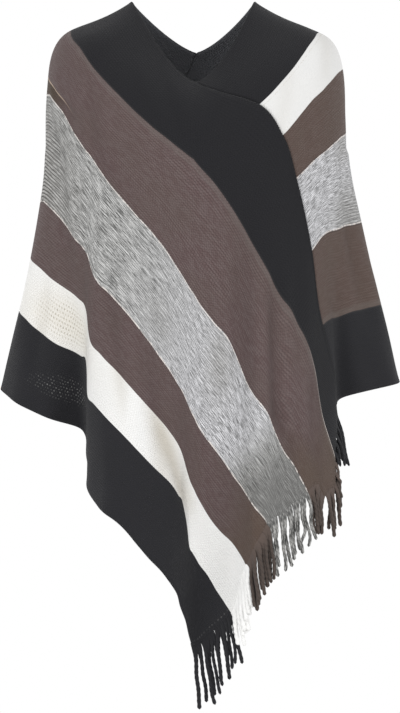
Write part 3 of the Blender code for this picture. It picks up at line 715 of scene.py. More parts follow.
# Places on the form with their half extents and a strength: angle, distance down, degrees, metres.
# Where the knit is pulled open and its eyelets show:
openPlaces = (
    (-67, 0.530, 16, 0.044, 1.0),
    (-67, 0.634, 13, 0.024, 1.0),
    (-104, 0.545, 12, 0.045, 0.8),
    (150, 0.560, 12, 0.050, 0.5),
)
# Where the grey's courses stand out:
ribPlaces = (
    (-85, 0.350, 18, 0.150, 1.0),
    (83, 0.395, 14, 0.045, 0.5),
    (80, 0.285, 9, 0.030, 0.4),
    (13, 0.445, 6, 0.055, 0.4),
    (-20, 0.395, 6, 0.035, 0.2),
    (-108, 0.380, 14, 0.100, 0.8),
    (140, 0.420, 20, 0.120, 0.6),
)


# The strongest of the places at each point, each fading as a squared bell both ways.
def nearPlaces(places, angle, down):
    values = [
        strength * np.exp(-((((angle - a + 180) % 360 - 180) / wide) ** 2) - ((down - d) / tall) ** 2)
        for a, d, wide, tall, strength in places
    ]
    return np.max(values, axis=0)


# The numbers that a panel's material reads at each vertex: where it is sewn, pulled open, ribbed and
# in a trough (painted shade), and on its inner side where it lies behind the neck (painted light).
def markCloth(piece, cover, sheet):
    angle, down = sheet["angle"], sheet["down"]
    atEnd, atEdge = [np.exp(-((sheet[way] / cloth["seamMark"]) ** 2)) for way in ("u", "v")]
    fromFront = np.abs((angle + 180) % 360 - 180)
    marks = {
        "seam": np.maximum(atEnd, atEdge * sheet["sewn"]),
        "open": nearPlaces(openPlaces, angle, down),
        "rib": nearPlaces(ribPlaces, angle, down),
        "fold": readForm(troughShadeGrid, angle, down),
        # painted light on the black's inside at the back of the neck, which lies in shade
        "inner": (1 - smooth(*cloth["neckInsideDown"], down)) * smooth(*cloth["neckInsideAngle"], fromFront),
    }
    marks = {name: values.ravel()[cover] for name, values in marks.items()}
    marks["inner"] *= np.arange(len(cover)) // angle.size == 1
    for name, values in marks.items():
        attribute = piece.data.attributes.new(name, "FLOAT", "POINT")
        attribute.data.foreach_set("value", values.astype(np.float32))


sheets = {}
clothPieces = {}
for side, panel in panels.items():
    sheet = panelSurface(panel)
    piece, cover = shellMesh(f"{side}Panel", sheet)
    markCloth(piece, cover, sheet)
    sheets[side], clothPieces[side] = sheet, piece
    print("panel", side, sheet["points"].shape, len(piece.data.polygons), "faces")

fringe = {
    "pitch": 0.0074,         # along the fringed end
    "radius": 0.0027,
    "radiusSpread": 0.12,    # share by which strands are thicker or thinner
    "sides": 10,
    "rings": 42,
    # stripe: (length, sideways lean, spread of that, pull of a clump, own wave, thickness) of its
    # strands at its border nearer the neck, and at the other
    "strands": {
        "blackInner": ((0.099, 0.17, 0.07, 0.0, 0.0010, 0.80), (0.018, 0.12, 0.06, 0.0, 0.0006, 0.80)),
        "brownWide": ((0.060, 0.02, 0.03, 0.0, 0.0020, 1.00), (0.074, 0.08, 0.04, 0.0, 0.0009, 1.20)),
        "grey": ((0.074, 0.06, 0.07, 0.3, 0.0028, 1.00), (0.086, 0.05, 0.05, 0.1, 0.0020, 1.10)),
        "brownNarrow": ((0.082, 0.06, 0.03, 0.0, 0.0008, 1.10), (0.074, 0.08, 0.03, 0.0, 0.0006, 1.25)),
        "white": ((0.068, 0.06, 0.02, 0.0, 0.0006, 1.30), (0.056, 0.10, 0.02, 0.0, 0.0006, 1.30)),
        "blackOuter": ((0.070, 0.15, 0.06, 0.3, 0.0010, 1.05), (0.102, 0.04, 0.05, 0.6, 0.0014, 1.10)),
    },
    "lengthSpread": 0.007,
    "plyPitch": 0.017,       # one full turn of the two plies
    "plyDepth": 0.16,
    "plyStep": 1.3,          # radians from one strand's twist to the next one's
    "plyStart": (0.1, 0.3),  # shares of the way between which the plies come in
    "tipLength": 0.0022,     # over which a tip is rounded
    "tipLeast": 0.04,
    "bend": 0.009,           # from the cloth's direction to nearly straight down
    "facing": 0.10,          # lean the way the cloth's end faces
    "backLean": 0.2,         # share of the lean that the back has
    "rootInside": 0.004,     # strands start this far inside the cloth
    "rootReach": 0.034,      # they are wide and flat at first
    "rootWide": 0.55,
    "rootFlat": 0.64,
    "rootSpread": 0.0016,
    "clumpMost": 3,          # strands that hang together
    "pullLeast": 0.3,        # share of the pull that the least bound clump has
    "pullStart": (0.12, 0.5),
    "pullEnd": (0.6, 1.0),   # where it goes back to half of it
    "stagger": 0.0024,
    "freeStart": (0.05, 0.5),            # the stagger and the waves come in there
    "wave": 1.6,             # wave that neighbours share, times a strand's own
    # its parts: radians from strand to strand, radians along a strand, phase, share
    "sharedWaves": ((0.55, 3.0, 0.0, 1.0), (1.7, 5.0, 1.0, 0.5)),
    "ownWaveLength": (0.042, 0.070),
    "backWave": (2.3, 0.8),  # phase and turns of its own wave front to back, against those sideways
    "clear": 0.0047,
    "closest": 0.0005,
    "give": (0.45, 1.0),     # how freely they move across and front to back
    "heldTo": (0.03, 0.16),  # shares of the way between which they come free to move
    "rounds": 40,
    "smoothing": 12,         # less is smoother
    "seed": 7,
}


# Roots of one end's strands: even steps within each stripe. Gives for each strand its place along
# the end, its stripe's number and its row of the table, between the two ends of the stripe.
def strandRoots(side, edges, randomNumbers):
    roots, stripeOf, hang = [], [], []
    for k, (stripe, _) in enumerate(panels[side]["stripes"]):
        count = max(1, round((edges[k + 1] - edges[k]) / fringe["pitch"]))
        part = (np.arange(count) + 0.5) / count
        roots.append(edges[k] + (edges[k + 1] - edges[k]) * part)
        stripeOf.append(np.full(count, k))
        near, far = np.array(fringe["strands"][stripe])
        hang.append(near + (far - near) * (part if side == "left" else 1 - part)[:, None])
    roots, stripeOf, hang = [np.concatenate(x) for x in (roots, stripeOf, hang)]
    roots = roots + fringe["rootSpread"] * randomNumbers.uniform(-1, 1, len(roots))
    hang[:, 0] += fringe["lengthSpread"] * randomNumbers.uniform(-1, 1, len(roots))
    hang[:, 1] += hang[:, 2] * randomNumbers.uniform(-1, 1, len(roots))
    hang[:, 5] *= 1 + fringe["radiusSpread"] * randomNumbers.uniform(-1, 1, len(roots))
    return roots, stripeOf, hang


# Strands of one stripe drawn towards the mean of their clump in the horizontal plane: by nothing at
# the root, most at the middle of the way and half of that at the tips.
def pullTogether(paths, stripeOf, pull, way, randomNumbers):
    n = len(paths)
    sizes = randomNumbers.integers(1, fringe["clumpMost"] + 1, n)
    clump = np.repeat(np.arange(n), sizes)[:n] * 10 + stripeOf
    member = np.unique(clump, return_inverse=True)[1]
    total = np.zeros((member.max() + 1,) + paths.shape[1:])
    np.add.at(total, member, paths)
    centre = (total / np.bincount(member)[:, None, None])[member]
    strength = (pull * randomNumbers.uniform(fringe["pullLeast"], 1, n)[member])[:, None]
    strength = strength * smooth(*fringe["pullStart"], way) * (1 - smooth(*fringe["pullEnd"], way) / 2)
    paths[..., :2] += (centre - paths)[..., :2] * strength[..., None]
    return paths


# Middle lines of all strands of one end. A strand leaves the cloth along its own plane and turns
# down as a smooth step of the way along; long waves that neighbours share, the pull of its clump
# and a small wave of its own move it, and every other strand hangs a little further out.
def strandPaths(side, sheet, randomNumbers):
    points, out = sheet["points"][:, -1], sheet["out"][:, -1]
    run = np.gradient(points, axis=0)
    past = unit(np.cross(out, run))
    travelled = np.concatenate([[0], np.cumsum(np.linalg.norm(np.diff(points, axis=0), axis=1))])
    edges = np.interp(borders(panels[side]), sheet["across"], travelled)
    roots, stripeOf, hang = strandRoots(side, edges, randomNumbers)
    length, lean, _, pull, ownWave, thickness = hang.T
    n = len(roots)
    place, normal, leave = [
        np.stack([np.interp(roots, travelled, values[:, k]) for k in range(3)], 1)
        for values in (points, out, past)
    ]
    normal, leave = unit(normal), unit(leave)
    way = np.linspace(0, 1, fringe["rings"])[None]
    travel = way * length[:, None]
    turned = smooth(0, fringe["bend"], travel - fringe["rootInside"])[..., None]
    lean = lean if side == "left" else -fringe["backLean"] * lean
    fall = np.stack([lean, 0 * lean, 0 * lean - 1], 1) + leave * fringe["facing"]
    moves = unit(leave[:, None] * (1 - turned) + fall[:, None] * turned)
    moves = moves[:, :-1] * np.diff(travel, axis=1)[..., None]
    start = place - leave * fringe["rootInside"]
    paths = np.concatenate([start[:, None], start[:, None] + np.cumsum(moves, 1)], 1)
    forward = unit(normal * np.array([1, 1, 0.0]))[:, None]
    sideways = np.cross(np.array([0, 0, -1.0]), forward)
    number = np.arange(n)[:, None]
    free = smooth(*fringe["freeStart"], way)
    shared = 0
    for step, along, phase, share in fringe["sharedWaves"]:
        shared = shared + share * np.sin(number * step + along * way + phase)
    shared = shared * ownWave[:, None] * fringe["wave"]
    paths = paths + sideways * (shared * way * free)[..., None]
    paths = pullTogether(paths, stripeOf, pull, way, randomNumbers)
    phase = randomNumbers.uniform(0, 2 * np.pi, (n, 1))
    turns = 2 * np.pi * travel / randomNumbers.uniform(*fringe["ownWaveLength"], (n, 1))
    backPhase, backTurns = fringe["backWave"]
    own = np.sin(phase + turns) * ownWave[:, None]
    back = np.sin(backPhase * phase + backTurns * turns) * ownWave[:, None]
    depth = fringe["stagger"] * np.where(number % 2, 1, -1) + back
    paths = paths + sideways * (own * free)[..., None] + forward * (depth * free)[..., None]
    return spreadApart(paths), normal, stripeOf, length, thickness


# Strands moved apart in the horizontal plane: at each height, one nearer to another than the clear
# distance moves away by half of what is missing. Roots stay, and each path is smoothed after.
def spreadApart(paths):
    hold = smooth(*fringe["heldTo"], np.linspace(0, 1, paths.shape[1]))[None, :, None]
    for _ in range(fringe["rounds"]):
        move = np.zeros(paths.shape[:2] + (2,))
        for i in range(len(paths)):
            falling = paths[i, ::-1]
            level = paths[..., 2]
            beside = np.stack([np.interp(level, falling[:, 2], falling[:, k]) for k in range(2)], -1)
            gap = paths[..., :2] - beside
            distance = np.linalg.norm(gap, axis=-1)
            near = (distance < fringe["clear"]) & (level > falling[0, 2]) & (level < falling[-1, 2])
            near[i] = False
            push = (fringe["clear"] - distance) / np.maximum(distance, fringe["closest"])
            move += np.where(near[..., None], gap * push[..., None] * fringe["give"] / 2, 0.0)
        paths[..., :2] += move * hold
        bend = paths[:, 2:, :2] + paths[:, :-2, :2] - 2 * paths[:, 1:-1, :2]
        paths[:, 1:-1, :2] += bend / fringe["smoothing"]
    return paths


# Twisted yarn round each path: the section's radius is the yarn's, less a part that follows the
# square of the sine of the angle from the plies' turning axis. Roots are wide along the cloth's
# edge and flat, and tips are rounded.
def yarnMesh(name, paths, normal, length, thickness):
    n, rings = paths.shape[:2]
    sides = fringe["sides"]
    heading = unit(np.gradient(paths, axis=1))
    side = unit(np.cross(heading, normal[:, None]))
    front = unit(np.cross(side, heading))
    way = np.linspace(0, 1, rings)[None]
    travel = way * length[:, None]
    theta = np.arange(sides) * 2 * np.pi / sides
    turn = 2 * np.pi * travel / fringe["plyPitch"] + np.arange(n)[:, None] * fringe["plyStep"]
    depth = fringe["plyDepth"] * smooth(*fringe["plyStart"], way)
    shape = 1 - depth[..., None] * np.sin(theta - turn[..., None]) ** 2
    tip = np.sqrt(np.clip((length[:, None] - travel) / fringe["tipLength"], fringe["tipLeast"], 1))
    root = 1 - smooth(fringe["rootInside"], fringe["rootReach"], travel)
    radius = fringe["radius"] * thickness[:, None, None] * shape * tip[..., None]
    wide = radius * (1 + fringe["rootWide"] * root)[..., None]
    thin = radius * (1 - fringe["rootFlat"] * root)[..., None]
    ring = side[:, :, None] * (np.cos(theta) * wide)[..., None]
    ring = ring + front[:, :, None] * (np.sin(theta) * thin)[..., None]
    vertices = (paths[:, :, None] + ring).reshape(-1, 3)
    index = np.arange(n * rings * sides).reshape(n, rings, sides)
    after = np.roll(index, -1, axis=2)
    faces = np.stack([index[:, :-1], after[:, :-1], after[:, 1:], index[:, 1:]], -1).reshape(-1, 4)
    u = np.broadcast_to(travel[..., None], (n, rings, sides))
    v = np.broadcast_to(theta / (2 * np.pi), (n, rings, sides))
    uv = np.stack([u.ravel(), v.ravel()], 1)
    return makeMesh(name, vertices, faces, uv, (index[:, 0, ::-1], index[:, -1]))


yarnPieces = {}
for side, where in (("left", "Front"), ("right", "Back")):
    numbers = np.random.default_rng(fringe["seed"])
    paths, normal, stripeOf, length, thickness = strandPaths(side, sheets[side], numbers)
    for k, (stripe, _) in enumerate(panels[side]["stripes"]):
        mine = stripeOf == k
        name = f"yarn{where}{stripe[0].upper()}{stripe[1:]}"
        yarnPieces[(where, stripe)] = yarnMesh(name, paths[mine], normal[mine], length[mine], thickness[mine])
    print("fringe", where, len(paths), "strands")

yarnColours = {
    "black": (0.0130, 0.0130, 0.0150),
    "blackLight": (0.046, 0.046, 0.052),
    # painted shade in the stitches' dips
    "blackGroove": (0.006, 0.006, 0.007),
    # painted light on the black's inside behind the neck
    "blackInsidePaintedLight": (0.104, 0.106, 0.116),
    "brown": (0.121, 0.083, 0.082),
    "brownLight": (0.166, 0.130, 0.128),
    "brownCloud": (0.120, 0.094, 0.084),
    # painted shade in the brown's dips, grooves and troughs, and beside the grey
    "brownGroove": (0.050, 0.034, 0.032),
    "brownPale": (0.165, 0.150, 0.138),
    # brown beside the fringe, and painted shade on the right panel's brown
    "brownEndAndShade": (0.092, 0.066, 0.046),
    "brownRoot": (0.100, 0.074, 0.064),
    "greyRoot": (0.100, 0.100, 0.098),
    "whiteYarn": (0.862, 0.858, 0.848),
    "whiteYarnLight": (0.930, 0.930, 0.920),
    "brownYarn": (0.060, 0.047, 0.041),
    "brownYarnLight": (0.130, 0.104, 0.090),
    "grey": (0.330, 0.330, 0.328),
    "greyDark": (0.125, 0.125, 0.122),
    "greyLight": (0.630, 0.630, 0.620),
    # painted shade in the grey's grooves and troughs
    "greyGroove": (0.090, 0.090, 0.088),
    "greyRidge": (0.450, 0.436, 0.412),
    # painted shade in the grooves where the grey's courses stand out
    "greyDeep": (0.050, 0.048, 0.045),
    "greyPale": (0.800, 0.800, 0.830),
    "greyPaleDark": (0.240, 0.240, 0.246),
    "greyEnd": (0.120, 0.118, 0.112),
    "greyYarn": (0.060, 0.060, 0.058),
    "greyYarnLight": (0.460, 0.455, 0.440),
    "white": (0.864, 0.862, 0.852),
    "whiteCloud": (0.850, 0.835, 0.800),
    "whiteOpen": (0.800, 0.768, 0.700),
    # painted shade on the white: in its dips and troughs, and a row beside the black
    "whiteShade": (0.480, 0.435, 0.355),
    "edge": (0.780, 0.720, 0.680),
    "blackDots": (0.290, 0.290, 0.280),
    "whiteDots": (0.480, 0.435, 0.345),
    # painted highlight on the tuck's crest, and painted shade under it
    "tuckHighlight": (0.500, 0.390, 0.300),
    "tuckShade": (0.056, 0.038, 0.022),
}


# A new node in a tree, with its unlinked sockets set from a dictionary of name or number: value.
def addNode(tree, kind, values=None, **settings):
    node = tree.nodes.new(kind)
    for key, value in settings.items():
        setattr(node, key, value)
    for key, value in (values or {}).items():
        if hasattr(value, "is_output"):
            tree.links.new(value, node.inputs[key])
        else:
            node.inputs[key].default_value = value
    return node


# The result of a Math node on one to three numbers or sockets.
def calc(tree, operation, *values, clamp=False):
    node = addNode(tree, "ShaderNodeMath", dict(enumerate(values)), operation=operation, use_clamp=clamp)
    return node.outputs[0]


# The product of any count of numbers or sockets.
def product(tree, first, *others):
    for other in others:
        first = calc(tree, "MULTIPLY", first, other)
    return first


# A smooth ramp between two limits, as Map Range gives it.
def rampNumber(tree, value, low, high, to=(0.0, 1.0)):
    node = addNode(tree, "ShaderNodeMapRange", {0: value, 1: low, 2: high, 3: to[0], 4: to[1]},
                   interpolation_type="SMOOTHSTEP")
    return node.outputs[0]


# One colour or the other by a factor.
def mixColour(tree, factor, first, second):
    first, second = [(*c, 1) if isinstance(c, tuple) and len(c) == 3 else c for c in (first, second)]
    node = addNode(tree, "ShaderNodeMix", {0: factor, 6: first, 7: second}, data_type="RGBA")
    return node.outputs[2]


# One number or the other by a factor.
def mixNumber(tree, factor, first, second):
    return addNode(tree, "ShaderNodeMix", {0: factor, 2: first, 3: second}, data_type="FLOAT").outputs[0]


# A noise's value at a place.
def noise(tree, place, scale, detail=1.0):
    return addNode(tree, "ShaderNodeTexNoise", {"Vector": place, "Scale": scale, "Detail": detail}).outputs[0]


# A place with its x and y multiplied by two scales.
def stretched(tree, place, along, across):
    scale = addNode(tree, "ShaderNodeCombineXYZ", {0: along, 1: across}).outputs[0]
    return addNode(tree, "ShaderNodeVectorMath", {0: place, 1: scale}, operation="MULTIPLY").outputs[0]


# The x and y of a place.
def apart(tree, place):
    return addNode(tree, "ShaderNodeSeparateXYZ", {0: place}).outputs[:2]


# A bump of a shader's normal by a height, with the depth and strength of a finish.
def addBump(tree, shader, height, values):
    values = {"Height": height, "Distance": values["bump"], "Strength": values["bumpStrength"]}
    tree.links.new(addNode(tree, "ShaderNodeBump", values).outputs[0], shader.inputs["Normal"])


# A node group with named inputs and outputs, ready to be filled.
def startGroup(name, inputs, outputs):
    tree = bpy.data.node_groups.new(name, "ShaderNodeTree")
    for label, kind, value in inputs:
        socket = tree.interface.new_socket(name=label, in_out="INPUT", socket_type=kind)
        if value is not None:
            socket.default_value = value
    for label, kind in outputs:
        tree.interface.new_socket(name=label, in_out="OUTPUT", socket_type=kind)
    return tree, tree.nodes.new("NodeGroupInput"), tree.nodes.new("NodeGroupOutput")


knitGroups = {
    "legShare": 0.45,          # how much lower a stitch is at its sides
    "dipBelow": 0.42,          # lower than that it is a dip
    # kinds of streaks: multiples of the noise's scale along and across, and share
    "streaks": ((1.0, 1.0, 0.68), (0.36, 0.42, 0.08), (3.2, 0.85, 0.24)),
    "rowNoise": 20.0,
    "rowUneven": 1.2,          # courses by which the rows wander
    "grooveFrom": (0.14, 0.44),
    "cloudFrom": (0.3, 0.7),
    "eyeletFade": 0.12,
}


# Knit stitches: rows along u, each stitch a V. The row's phase is v over the course height plus a
# slant times the distance from the middle of the wale; height follows the sine of that phase.
def stitchGroup():
    tree, start, end = startGroup(
        "knitStitches",
        [("Place", "NodeSocketVector", None), ("Wale", "NodeSocketFloat", 0.0042),
         ("Course", "NodeSocketFloat", 0.0036), ("Slant", "NodeSocketFloat", 0.55)],
        [("Height", "NodeSocketFloat"), ("Dip", "NodeSocketFloat")],
    )
    along, across = apart(tree, start.outputs["Place"])
    wale = calc(tree, "FRACT", calc(tree, "DIVIDE", along, start.outputs["Wale"]))
    fromMiddle = calc(tree, "ABSOLUTE", calc(tree, "MULTIPLY_ADD", wale, 2.0, -1.0))
    row = calc(tree, "DIVIDE", across, start.outputs["Course"])
    phase = calc(tree, "FRACT", calc(tree, "MULTIPLY_ADD", fromMiddle, start.outputs["Slant"], row))
    bulge = calc(tree, "SINE", calc(tree, "MULTIPLY", phase, math.pi))
    leg = calc(tree, "SINE", calc(tree, "MULTIPLY", fromMiddle, math.pi))
    leg = calc(tree, "MULTIPLY_ADD", leg, knitGroups["legShare"], 1 - knitGroups["legShare"])
    height = calc(tree, "MULTIPLY", bulge, leg)
    tree.links.new(height, end.inputs["Height"])
    tree.links.new(rampNumber(tree, height, 0.0, knitGroups["dipBelow"], (1.0, 0.0)), end.inputs["Dip"])
    return tree


# Marled yarn and its courses. The streaks are a noise stretched along u plus a longer, wider one
# and short flecks, steepened. The groove is what is far from the middle of a course, and the rows
# are a little uneven.
def marlGroup():
    tree, start, end = startGroup(
        "marlCourses",
        [("Place", "NodeSocketVector", None), ("Along", "NodeSocketFloat", 62.0),
         ("Across", "NodeSocketFloat", 1050.0), ("Contrast", "NodeSocketFloat", 0.055),
         ("Course", "NodeSocketFloat", 0.0032)],
        [("Streak", "NodeSocketFloat"), ("Groove", "NodeSocketFloat")],
    )
    fine = stretched(tree, start.outputs["Place"], start.outputs["Along"], start.outputs["Across"])
    streaks = 0.0
    for along, across, share in knitGroups["streaks"]:
        streak = noise(tree, stretched(tree, fine, along, across), 1.0)
        streaks = calc(tree, "MULTIPLY_ADD", streak, share, streaks)
    low = calc(tree, "SUBTRACT", 0.5, start.outputs["Contrast"])
    high = calc(tree, "ADD", 0.5, start.outputs["Contrast"])
    tree.links.new(rampNumber(tree, streaks, low, high), end.inputs["Streak"])
    row = calc(tree, "DIVIDE", apart(tree, start.outputs["Place"])[1], start.outputs["Course"])
    wander = noise(tree, start.outputs["Place"], knitGroups["rowNoise"])
    row = calc(tree, "MULTIPLY_ADD", wander, knitGroups["rowUneven"], row)
    away = calc(tree, "ABSOLUTE", calc(tree, "SUBTRACT", calc(tree, "FRACT", row), 0.5))
    tree.links.new(rampNumber(tree, away, *knitGroups["grooveFrom"]), end.inputs["Groove"])
    return tree


# Hairy yarn: a very fine noise for the fibres and a broad one for uneven dye.
def fuzzGroup():
    tree, start, end = startGroup(
        "yarnFuzz",
        [("Place", "NodeSocketVector", None), ("Fibre", "NodeSocketFloat", 1400.0),
         ("Cloud", "NodeSocketFloat", 14.0)],
        [("Fibres", "NodeSocketFloat"), ("Clouds", "NodeSocketFloat")],
    )
    fibres = noise(tree, start.outputs["Place"], start.outputs["Fibre"])
    clouds = noise(tree, start.outputs["Place"], start.outputs["Cloud"], detail=2.0)
    tree.links.new(fibres, end.inputs["Fibres"])
    tree.links.new(rampNumber(tree, clouds, *knitGroups["cloudFrom"]), end.inputs["Clouds"])
    return tree


# Eyelets: dots on a grid whose rows are set off by half a step. A dot is 1 within its radius of
# the middle of its cell and fades outside.
def eyeletGroup():
    tree, start, end = startGroup(
        "eyelets",
        [("Place", "NodeSocketVector", None), ("Step", "NodeSocketFloat", 0.0050),
         ("Radius", "NodeSocketFloat", 0.16)],
        [("Dots", "NodeSocketFloat")],
    )
    along, across = apart(tree, start.outputs["Place"])
    row = calc(tree, "DIVIDE", across, start.outputs["Step"])
    odd = calc(tree, "MULTIPLY", calc(tree, "PINGPONG", calc(tree, "FLOOR", row), 1.0), 0.5)
    column = calc(tree, "ADD", calc(tree, "DIVIDE", along, start.outputs["Step"]), odd)
    x = calc(tree, "SUBTRACT", calc(tree, "FRACT", column), 0.5)
    y = calc(tree, "SUBTRACT", calc(tree, "FRACT", row), 0.5)
    away = calc(tree, "SQRT", calc(tree, "ADD", calc(tree, "MULTIPLY", x, x), calc(tree, "MULTIPLY", y, y)))
    inner = start.outputs["Radius"]
    outer = calc(tree, "ADD", inner, knitGroups["eyeletFade"])
    dots = addNode(tree, "ShaderNodeMapRange", {0: away, 1: inner, 2: outer, 3: 1.0, 4: 0.0})
    tree.links.new(dots.outputs[0], end.inputs["Dots"])
    return tree


# Plies of a twisted strand: the absolute sine of the way round plus the way along.
def plyGroup():
    tree, start, end = startGroup(
        "plySpiral",
        [("Place", "NodeSocketVector", None), ("Pitch", "NodeSocketFloat", 0.017),
         ("Plies", "NodeSocketFloat", 2.0)],
        [("Height", "NodeSocketFloat")],
    )
    along, around = apart(tree, start.outputs["Place"])
    turns = calc(tree, "SUBTRACT", around, calc(tree, "DIVIDE", along, start.outputs["Pitch"]))
    angle = product(tree, turns, start.outputs["Plies"], math.pi)
    tree.links.new(calc(tree, "ABSOLUTE", calc(tree, "SINE", angle)), end.inputs["Height"])
    return tree


groups = {
    "stitch": stitchGroup(), "marl": marlGroup(), "fuzz": fuzzGroup(),
    "eyelet": eyeletGroup(), "ply": plyGroup(),
}
print("node groups made")


# A group placed in a material with its own values.
def place(tree, name, values):
    return addNode(tree, "ShaderNodeGroup", values, node_tree=groups[name])


finish = {
    "knitRoughness": 0.9,
    "knitSheen": 0.06,
    "yarnRoughness": 0.92,
    "yarnSheen": 0.08,
    "sheenRoughness": 0.55,
    "specular": 0.16,
}


# A material with an empty tree but for its Principled BSDF, whose fixed sockets are set here.
def startMaterial(name, roughness, sheen):
    material = bpy.data.materials.new(name)
    material.use_nodes = True
    tree = material.node_tree
    shader = tree.nodes["Principled BSDF"]
    shader.inputs["Roughness"].default_value = roughness
    shader.inputs["Specular IOR Level"].default_value = finish["specular"]
    shader.inputs["Sheen Weight"].default_value = sheen
    shader.inputs["Sheen Roughness"].default_value = finish["sheenRoughness"]
    return material, tree, shader


knit = {
    "wale": 0.0044,
    "course": 0.0038,
    "brownCourse": 0.0034,
    "ribCourse": 0.0044,
    "brownAcross": 300.0,            # the brown's marl is wider
    "greyAlong": 42.0,               # the grey's is longer where it isn't paler
    "greyPaler": (0.42, 0.72),       # between these u the grey gets its further paleness
    "greyPalerEnd": (0.77, 0.83),    # and here it ends
    "greyLess": 0.60,                # share of the light yarn that goes near the fringe
    "patches": (50.0, 400.0),        # in patches of this scale along and across
    "patchFrom": (0.34, 0.60),
    "patchTo": (0.25, 1.0),
    "ridge": (0.56, 0.02),           # share of the ridges' colour on the ribs, and everywhere
    "lastGrey": (0.78, 0.875),       # between these u a yarn gets its colour beside the fringe
    "lastBrown": (0.80, 0.89),
    "lastRow": (0.74, 0.82),
    "hemLight": 0.16,                # the outer black is this much lighter
    "borderWave": 0.0006,            # the stitches' own outline along a colour change
    "borderDrift": 0.0016,           # and its slow one
    "borderNoise": 30.0,
    "borderSoft": 0.0003,
    "bandSoft": 0.0006,
    "rowNoise": 170.0,               # unevenness along the rows
    "rowFrom": (0.30, 0.62),
    "eyeletsOpen": (0.35, 0.9),      # of the pull on the knit
    "dropNoise": 330.0,              # eyelets of the black that don't show
    "dropFrom": (0.36, 0.60),
    "whiteDots": (0.4, 0.6),         # uneven share of the white's eyelets, and even one
    "dotShare": 0.75,
    "knotsFromEnd": 0.0085,          # light knots of the outer black's fringe
    "knotLength": 0.0022,
    "knotFrom": (0.72, 0.95),
    "knotShare": 0.22,
    "whipStep": 0.0052,              # stitches over the seam
    "whipRise": 0.8,
    "fibreRise": 0.30,
    "eyeletDepth": 0.9,
    "bump": 0.0010,
    "bumpStrength": 0.7,
}
# Each knitted yarn is its own colour, or its marl, with layers mixed over it: mask, share, colour.
knitLayers = {
    "black": (
        ("fibres", 0.16, "blackLight"),
        # painted shade in the stitches' dips
        ("dip", 0.35, "blackGroove"),
        # painted light on the inside behind the neck
        ("inner", 1.0, "blackInsidePaintedLight"),
    ),
    "brown": (
        ("brownStreak", 0.52, "brownLight"),
        ("clouds", 0.35, "brownCloud"),
        # painted shade in the marl's grooves and the stitches' dips
        ("brownGroove", 0.28, "brownGroove"),
        ("dip", 0.60, "brownGroove"),
        # painted shade in the creases' troughs
        ("fold", 0.34, "brownGroove"),
        ("lastBrown", 0.62, "brownEndAndShade"),
        # painted shade on the right panel's brown
        ("panelShade", 1.0, "brownEndAndShade"),
    ),
    "grey": (
        ("ridge", 1.0, "greyRidge"),
        # painted shade in the grooves, darkest where the courses stand out
        ("groove", 0.26, "greyGroove"),
        ("ribGroove", 0.98, "greyDeep"),
        # painted shade in the creases' troughs
        ("fold", 0.22, "greyGroove"),
        ("lastGrey", 0.52, "greyEnd"),
    ),
    "white": (
        ("clouds", 0.15, "whiteCloud"),
        ("open", 0.90, "whiteOpen"),
        # painted shade in the stitches' dips
        ("whiteDip", 0.09, "whiteShade"),
        # painted shade in the creases' troughs where the knit isn't pulled open
        ("closedTroughShade", 0.72, "whiteShade"),
        # painted shade on the right panel's white
        ("panelShade", 0.62, "grey"),
    ),
}
# Rows beside the borders: stripe on whose side and its neighbour, start and end from the border,
# softness, masks, share, colour.
borderRows = (
    ("brownWide", "blackInner", 0.0, 0.0080, 0.003, (), 0.25, "brownPale"),
    ("brownWide", "blackInner", 0.0, 0.0014, knit["bandSoft"], ("lastRow",), 0.75, "edge"),
    ("grey", "brownWide", 0.0, 0.0020, knit["bandSoft"], ("uneven",), 0.95, "edge"),
    # a dark row on the brown's side of the grey: painted shadow
    ("brownWide", "grey", 0.0, 0.0014, knit["bandSoft"], (), 0.50, "brownGroove"),
    ("grey", "brownNarrow", 0.0, 0.0020, knit["bandSoft"], ("uneven",), 0.95, "edge"),
    # a dark row on the brown's side of the grey: painted shadow
    ("brownNarrow", "grey", 0.0, 0.0014, knit["bandSoft"], (), 0.50, "brownGroove"),
    # a row of painted shadows inside the white beside the outer black
    ("white", "blackOuter", 0.0045, 0.0062, knit["bandSoft"], ("dip", "uneven"), 0.90, "whiteShade"),
)
# The tuck at the left upper arm: a painted highlight on its crest along a parabola of v over u,
# and painted shade under it.
tuck = {
    "top": 0.2075,
    "middle": 0.278,
    "bow": 2.6,
    "ends": (0.150, 0.200, 0.275, 0.322),    # of the fold line along u, where it comes and goes
    "line": (-0.0020, 0.0004),               # its width, from the parabola
    "lineSoft": 0.0005,
    "lineShare": 0.9,
    "shadeEnd": (0.250, 0.310),
    "shadeSoft": 0.0016,
    "shadeStop": 0.001,                      # it stops this far before the grey
    "shadeShare": 0.85,
}


# Mask of a band of v: 1 between its limits, with soft sides.
def band(tree, v, low, high, soft=knit["bandSoft"]):
    rise = rampNumber(tree, v, low - soft, low + soft)
    fall = rampNumber(tree, v, high - soft, high + soft, (1.0, 0.0))
    return calc(tree, "MULTIPLY", rise, fall)


# A number that was given to each vertex.
def vertexNumber(tree, name):
    return addNode(tree, "ShaderNodeAttribute", attribute_name=name).outputs["Fac"]


